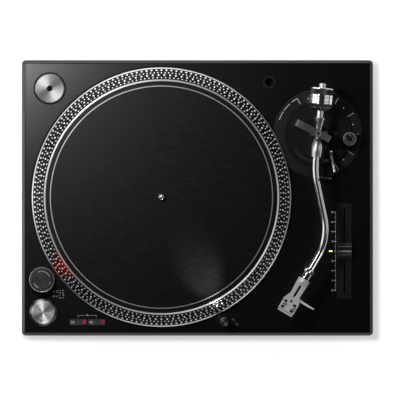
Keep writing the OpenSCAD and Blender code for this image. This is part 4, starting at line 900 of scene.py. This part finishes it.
# Arm base: a sprayed plate with a printed height scale is fixed to the deck. A ring with a coined rim turns
# on it and lifts the tower, which carries the bridge, the anti-skate box, the rest and the cue lift.
arm_black = sprayed("arm_black", 6, 0.3)
pivot = middle("arm_base_plate")
on_pivot = upright(pivot.x, pivot.y)
plate_top = deck_level + 0.0012
dress("arm_base_plate", sprayed("plate_black", 14, 0.35))
tick_in, tick_out, tick_w, dot_at, dot_r, scale_arc_w = 0.0446, 0.0528, 0.0007, 0.0468, 0.0008, 0.0008
height_marks = []
for angle in range(-60, 121, 30):
    cos, sin = math.cos(math.radians(angle)), math.sin(math.radians(angle))
    height_marks.append(stroke(tick_in * cos, tick_in * sin, tick_out * cos, tick_out * sin, tick_w))
    if angle < 120:
        turn = math.radians(angle + 15)
        height_marks.append(dot(dot_at * math.cos(turn), dot_at * math.sin(turn), dot_r))
for arc_from, arc_to in ((120, 129), (133, 145), (147, 160)):
    height_marks.append(arc_band(tick_out - scale_arc_w, tick_out, arc_from, arc_to, 12))
printed("height_scale", height_marks, plate_top, "chassis", pale_ink, pivot.x, pivot.y)
ring_r, ring_foot, ring_top = round_of("height_ring")
ring_rim_r, ring_bore_r, ring_web = ring_r - 0.0034, 0.03305, ring_foot + 0.0026
coin_teeth, coin_depth = 120, 0.0005
ring_profile = [(ring_bore_r, ring_foot)] + near(ring_r, ring_foot, (-0.0005, 0), (0, 0.0006))
ring_profile += near(ring_r, ring_top, (0, -0.0011), (-0.001, 0))
ring_profile += [(ring_rim_r, ring_top), (ring_rim_r, ring_web), (ring_bore_r, ring_web)]
height_ring = turned_piece("height_ring_coined", ring_profile, on_pivot, arm_black, "height_ring",
                           4 * coin_teeth, coined(coin_teeth, coin_depth, (2, 3)), closed=True)
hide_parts("height_ring")
dress("arm_tower", arm_black, 0.0005)
dress("arm_bridge", metal("bridge_grey", 116, 0.38, (1, 6, 1), 0.0004), 0.0006)
bridge_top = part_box("arm_bridge")[1][2]
plate_z0, plate_z1 = bridge_top - 0.0017, bridge_top - 0.0013
bridge_place = on_pivot @ Matrix.Rotation(math.radians(153), 4, "Z")
bright_trim = blasted("bright_trim", 150, 0.4, 0.3)
end_plates = [slab(0.0288, 0.0310, 0.0043, plate_z0, plate_z1),
              slab(-0.0166, -0.0158, 0.0020, plate_z0, plate_z1)]
piece_from("bridge_end_plates", end_plates, bridge_place, bright_trim, "arm_base")
nut_r, nut_foot, nut_face = 0.0039, -0.0001, 0.00003
nut_profile = near(nut_r, bridge_top, (-0.0012, nut_foot), (0, nut_foot), (0, 0), (-0.0002, nut_face),
                   (-0.0010, nut_face))
turned_piece("bridge_nut_ring", nut_profile, bridge_place, bright_trim, "arm_base", 96,
             closed=True)
# slot_shadow is painted shade: dark films laid where slots and grooves are in shade. The cross on the bridge
# nut is the painted shadow of its slots.
slot_shadow = ink("slot_shadow", 22)
slot_w, cross_r = 0.0007, 0.0026
nut_cross = [stroke(-cross_r, 0, cross_r, 0, slot_w), stroke(0, -cross_r, 0, cross_r, slot_w)]
printed("bridge_nut_shadow", nut_cross, bridge_top, "arm_base", slot_shadow, pivot.x, pivot.y)
dress("anti_skate_housing", arm_black, 0.0008)
dress("arm_rest", arm_black, 0.0004)
clip_black = moulded("clip_black", 34, 0.34)
dress("arm_clip", clip_black, 0.0002)
dress("lift_platform", clip_black, 0.0004)
dress("cue_lever", metal("lever_grey", 190, 0.26), 0.0002)


# Anti-skate knob: a small grey dial with a coined rim, on a stem in its box.
# A black cap with a printed scale of eight figures is pressed into its face.
skate_r, skate_foot, skate_top = round_of("anti_skate_knob")
skate_mid = middle("anti_skate_knob")
skate_skirt, skate_stem_r = skate_top - 0.0062, 0.0025
skate_teeth, skate_depth = 60, 0.0004
cap_sunk, cap_h, cap_gap = 0.0004, 0.00025, 0.0025
skate_profile = [(core_r, skate_foot), (skate_stem_r, skate_foot), (skate_stem_r, skate_skirt)]
skate_profile += near(skate_r, skate_skirt, (-0.0003, 0), (0, 0.0004))
skate_profile += near(skate_r, skate_top, (0, -0.0010), (-0.0006, -0.0003), (-0.0021, 0),
                      (-0.0024, -cap_sunk))
skate_profile.append((core_r, skate_top - cap_sunk))
skate_knob = turned_piece("anti_skate_knob_coined", skate_profile, upright(skate_mid.x, skate_mid.y),
                          blasted("skate_grey", 118, 0.4, 0.4), "anti_skate_knob",
                          4 * skate_teeth, coined(skate_teeth, skate_depth, (4, 5, 6)))
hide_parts("anti_skate_knob")
cap_profile = [(0.0001, 0.0), (skate_r - cap_gap, 0.0), (skate_r - cap_gap - 0.0001, cap_h), (0.0001, cap_h)]
turned_piece("anti_skate_cap", cap_profile, upright(skate_mid.x, skate_mid.y, skate_top - cap_sunk),
             moulded("cap_black", 22, 0.3), "anti_skate_knob", 96)
skate_figure_r, skate_figure_h, skate_step = 0.0047, 0.0018, 40
skate_marks = []
for k in range(8):
    turn = math.radians(90 - skate_step * k)
    skate_marks.append(figure(str(k), skate_figure_r * math.cos(turn), skate_figure_r * math.sin(turn),
                              skate_figure_h, math.radians(-skate_step * k)))
printed("anti_skate_marks", skate_marks, skate_top - cap_sunk + cap_h, "anti_skate_knob", pale_ink,
        skate_mid.x, skate_mid.y)


# Arm bearing and barrel: a satin gimbal ring turns on upright pivots, and the barrel tilts in it on two
# cross pivots. The barrel is turned and polished, and grips the tube's end.
axis_level = middle("arm_barrel").z
arm_turn = math.radians(-5.14)
arm_frame = upright(pivot.x, pivot.y, axis_level) @ Matrix.Rotation(arm_turn, 4, "Z")
to_rear = Matrix.Rotation(-math.pi / 2, 4, "X")
rearward = arm_frame @ to_rear
dress("gimbal_ring", metal("gimbal_dark", 62, 0.4))
barrel_bore_r, barrel_front, barrel_bore_end = 0.00425, -0.0299, -0.0239
barrel_most_r, shaft_r, shaft_end = 0.00685, 0.00415, 0.0641
barrel_stops = ((-0.0296, 0.0061), (-0.0200, barrel_most_r), (-0.0115, 0.0057), (-0.0050, 0.0036),
                (0.0060, 0.0036), (0.0200, 0.0064))
barrel_profile = [(0.0001, barrel_bore_end), (barrel_bore_r, barrel_bore_end), (barrel_bore_r, barrel_front),
                  (0.0058, barrel_front)]
for k in range(len(barrel_stops) - 1):
    (z0, r0), (z1, r1) = barrel_stops[k], barrel_stops[k + 1]
    (before_z, before_r), (after_z, after_r) = barrel_stops[max(k - 1, 0)], barrel_stops[min(k + 2, 5)]
    lean_0, lean_1 = (r1 - before_r) / (z1 - before_z), (after_r - r0) / (after_z - z0)
    for step in range(8):
        t, span = step / 8, z1 - z0
        radius = ((1 + 2 * t) * (1 - t) ** 2 * r0 + t * (1 - t) ** 2 * span * lean_0
                  + t ** 2 * (3 - 2 * t) * r1 + t ** 2 * (t - 1) * span * lean_1)
        barrel_profile.append((min(radius, barrel_most_r), z0 + span * t))
barrel_profile += [(0.0064, 0.0200), (0.0062, 0.0202), (shaft_r, 0.0202), (shaft_r, shaft_end - 0.0003),
                   (0.0038, shaft_end), (0.0001, shaft_end)]
barrel_verts, barrel_faces = lathe(barrel_profile, 96)
trunnion_r, trunnion_half = 0.0015, 0.0108
trunnion_profile = [(0.0001, -trunnion_half), (trunnion_r, -trunnion_half), (trunnion_r, trunnion_half),
                    (0.0001, trunnion_half)]
trunnion_verts, trunnion_faces = lathe(trunnion_profile, 32)
barrel_shapes = [(moved(barrel_verts, to_rear), barrel_faces),
                 (moved(trunnion_verts, Matrix.Rotation(math.pi / 2, 4, "Y")), trunnion_faces)]
barrel = piece_from("arm_barrel_turned", barrel_shapes, arm_frame,
                    metal("barrel_satin", 196, 0.3, (6, 1, 6), 0.0004), "tonearm")
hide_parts("arm_barrel")


# Arm tube: chromed aluminium drawn to an S, so that the headshell lies along the groove. It is one sweep
# through two bends, and its ends sit in the barrel and in the locking collar.
tube_r, tube_sides, bend_steps = 0.0042, 48, 24
tube_start, leg_1, leg_2, leg_3 = 0.0239, 0.0498, 0.0859, 0.0526
bend_1, bend_2 = math.radians(16.94), math.radians(42.3)
bend_1_r, bend_2_r = 0.110, 0.070
heading_end = bend_1 - bend_2


def ahead(angle):
    return Vector((math.sin(angle), -math.cos(angle)))


def beside(angle):
    return Vector((math.cos(angle), math.sin(angle)))


knee_1 = leg_1 * ahead(0)
knee_2 = knee_1 + leg_2 * ahead(bend_1)
centre_1 = knee_1 - bend_1_r * math.tan(bend_1 / 2) * ahead(0) + bend_1_r * beside(0)
centre_2 = knee_2 - bend_2_r * math.tan(bend_2 / 2) * ahead(bend_1) - bend_2_r * beside(bend_1)
shares = [k / bend_steps for k in range(bend_steps + 1)]
path = [(tube_start * ahead(0), 0.0)]
path += [(centre_1 - bend_1_r * beside(bend_1 * s), bend_1 * s) for s in shares]
path += [(centre_2 + bend_2_r * beside(bend_1 - bend_2 * s), bend_1 - bend_2 * s) for s in shares]
path += [(knee_2 + leg_3 * ahead(heading_end), heading_end)]
tube_verts, tube_faces = [], []
for stop, heading in path:
    for k in range(tube_sides):
        turn = math.tau * k / tube_sides
        out = stop + tube_r * math.cos(turn) * beside(heading)
        tube_verts.append((out.x, out.y, tube_r * math.sin(turn)))
tube_last = (len(path) - 1) * tube_sides
for ring in range(0, tube_last, tube_sides):
    tube_faces += [(ring + k, ring + tube_sides + k, ring + tube_sides + (k + 1) % tube_sides,
                    ring + (k + 1) % tube_sides) for k in range(tube_sides)]
tube_faces += [tuple(range(tube_sides)), tuple(reversed(range(tube_last, tube_last + tube_sides)))]
arm_chrome = metal("arm_chrome", 190, 0.13, (1, 14, 1), 0.0006, wear=0.06)
arm_tube = piece_from("arm_tube_drawn", [(tube_verts, tube_faces)], arm_frame, arm_chrome, "tonearm")
bright_metal.objects.link(arm_tube)
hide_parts("arm_tube")


# Locking collar: a chromed nut that turns on the end of the tube and draws the headshell's plug into it.
# It is turned with a waist, and its rear band is knurled for the fingers.
lock_len, lock_r, lock_bore_r, lock_lap = 0.015, 0.00565, 0.00425, 0.008
shell_origin = knee_2 + (leg_3 + lock_lap) * ahead(heading_end)
shell_frame = arm_frame @ upright(*shell_origin) @ Matrix.Rotation(heading_end, 4, "Z")
collar_teeth, collar_depth = 48, 0.00035
collar_profile = [(lock_bore_r, 0.0001)] + near(
    lock_r, 0.0, (-0.0003, 0.0001), (0, 0.0004), (0, 0.0084), (-0.0004, 0.0088), (-0.0004, 0.0096),
    (0.0003, 0.0099), (0.0006, 0.0103), (0.0006, 0.0132), (0.0003, 0.0136), (0, 0.0138), (-0.0004, lock_len))
collar_profile.append((lock_bore_r, lock_len))
collar = turned_piece("locking_collar_knurled", collar_profile, shell_frame @ to_rear, arm_chrome,
                      "locking_collar", 4 * collar_teeth,
                      coined(collar_teeth, collar_depth, (7, 8)), closed=True)
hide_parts("locking_collar")


# Headshell: a cast plate, bead blasted and anodised silver grey. The cartridge hangs under it on two screws
# in oval slots, and a bright finger lift stands out to the right.
dress("headshell", blasted("shell_grey", 226, 0.4, 0.35), 0.0004)
dress("finger_lift", blasted("lift_steel", 252, 0.34, 0.15), 0.0002)
shell_top = 0.0005
# A white strip along the slot's right edge is a painted highlight, where the edge would catch the light.
slot_highlight_strip = slab(-0.0265, -0.0095, 0.00045, shell_top - 0.0002, shell_top + 0.00015)
slot_place = shell_frame @ upright(0.0020, 0) @ Matrix.Rotation(math.pi / 2, 4, "Z")
slot_highlight_paint = blasted("slot_highlight_paint", 252, 0.34, 0.1)
piece_from("headshell_slot_highlight", [slot_highlight_strip], slot_place, slot_highlight_paint, "tonearm")
# A dark film at the floor of the headshell's cross groove is a painted shadow.
line_half, line_u, shell_line_w, line_deep = 0.0097, 0.0471, 0.0006, 0.00048
line_a, line_b = [shell_frame @ Vector((side * line_half, -line_u, 0)) for side in (-1, 1)]
printed("headshell_groove_shadow", [stroke(line_a.x, line_a.y, line_b.x, line_b.y, shell_line_w)],
        axis_level + shell_top - line_deep, "tonearm", slot_shadow)
dress("cartridge", moulded("cartridge_black", 40, 0.34, 0.0004))
dress("stylus", moulded("stylus_white", 222, 0.3, 0.0004), 0.0001)
screw_foot, screw_top = (end[2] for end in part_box("cartridge_screws"))
screw_u, screw_v, screw_r = 0.0395, 0.0065, 0.0012
head_r, head_h = 0.0029, 0.0015
screw_profile = [(0.0001, screw_foot), (screw_r, screw_foot), (screw_r, screw_top - head_h),
                 (head_r, screw_top - head_h)]
screw_profile += near(head_r, screw_top, (0, -0.0006), (-0.0008, -0.0001), (-0.0016, 0))
screw_profile.append((0.0001, screw_top))
screw_verts, screw_faces = lathe(screw_profile, 48)
screw_places = [shell_frame @ Vector((side * screw_v, -screw_u, 0)) for side in (-1, 1)]
two_screws = [(moved(screw_verts, upright(p.x, p.y)), screw_faces) for p in screw_places]
screws = piece_from("cartridge_screws_domed", two_screws, here, blasted("screw_bright", 176, 0.4, 0.3),
                    "tonearm")
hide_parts("cartridge_screws")
# Dark strokes across the screw heads are painted shadows standing for their slots.
driven = heading_end + arm_turn + 0.5
slot_x, slot_y = math.cos(driven) * head_r * 0.75, math.sin(driven) * head_r * 0.75
screw_slot_shadows = [stroke(p.x - slot_x, p.y - slot_y, p.x + slot_x, p.y + slot_y, slot_w) for p in screw_places]
printed("cartridge_slot_shadows", screw_slot_shadows, screw_top, "tonearm", slot_shadow)


# Counterweight: a heavy chromed drum on a bush that screws along the rear shaft, with a black grip band.
# A loose dial ahead of it is marked with the tracking force.
dress("weight_bush", arm_chrome, 0)
weight_r, weight_bore_r = 0.01485, 0.00705
weight_0, band_0, band_1, weight_1 = 0.0376, 0.0493, 0.0570, 0.0582
band_sunk, end_sunk = 0.0006, 0.0008
weight_profile = [(weight_bore_r, weight_0)] + near(weight_r, weight_0, (-0.0006, 0), (0, 0.0006))
for groove in (0.0407, 0.0461):
    weight_profile += near(weight_r, groove, (0, -0.0003), (-0.0004, 0), (0, 0.0003))
weight_profile += near(weight_r, band_0, (0, 0), (-band_sunk, 0.0001))
weight_profile += near(weight_r, band_1, (-band_sunk, -0.0001), (0, 0))
weight_profile += near(weight_r, weight_1, (0, -0.0004), (-0.0005, 0), (-0.0025, 0), (-0.0030, -end_sunk))
weight_profile.append((weight_bore_r, weight_1 - end_sunk))
weight_chrome = metal("weight_chrome", 212, 0.1, (20, 20, 1), 0.0005, wear=0.05)
weight = turned_piece("counterweight_drum", weight_profile, rearward, weight_chrome, "counterweight",
                      144, closed=True)
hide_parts("counterweight")
band_teeth, band_depth = 90, 0.0003
band_profile = near(weight_r, band_0, (-0.0007, 0.0002), (-0.0002, 0.0004))
band_profile += near(weight_r, band_1, (-0.0002, -0.0004), (-0.0007, -0.0002))
dial_black = moulded("dial_black", 12, 0.4, 0.0003)
turned_piece("counterweight_band", band_profile, rearward, dial_black, "counterweight",
             4 * band_teeth, coined(band_teeth, band_depth, (1, 2)), closed=True)
dial_0, dial_1, dial_r, dial_tip_r = 0.0293, 0.0373, 0.0153, 0.0100
dial_edge, dial_foot = dial_0 + 0.0003, dial_1 - 0.0012
dial_profile = [(weight_bore_r, dial_0)] + near(dial_tip_r, dial_0, (-0.0004, 0), (0, 0.0003))
dial_profile += near(dial_r, dial_1, (-0.0004, -0.0012), (0, -0.0008), (0, 0)) + [(weight_bore_r, dial_1)]
dial = turned_piece("force_dial_cone", dial_profile, rearward, dial_black, "force_dial", 144,
                    closed=True)
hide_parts("force_dial")
dial_lean = math.atan2(dial_r - dial_tip_r, dial_foot - dial_0) - math.pi / 2
dial_film, dial_ticks, tick_every = 0.00003, 32, 8
on_cone = upright(dial_tip_r + dial_film, 0, dial_edge) @ Matrix.Rotation(dial_lean, 4, "Y")
long_from, short_from, tick_to, dial_tick_w = 0.0030, 0.0040, 0.0058, 0.0003
dial_figure_u, dial_figure_h = 0.0015, 0.0017
dial_marks = []
for k in range(dial_ticks):
    long = k % tick_every == 0
    shapes = [stroke(long_from if long else short_from, 0, tick_to, 0, dial_tick_w)]
    if long:
        shapes.append(figure(str(k // tick_every), dial_figure_u, 0, dial_figure_h, math.pi / 2))
    mark_place = Matrix.Rotation(math.tau * k / dial_ticks, 4, "Z") @ on_cone
    dial_marks += [(moved(verts, mark_place), faces) for verts, faces in shapes]
piece_from("force_dial_marks", dial_marks, rearward, pale_ink, "force_dial")
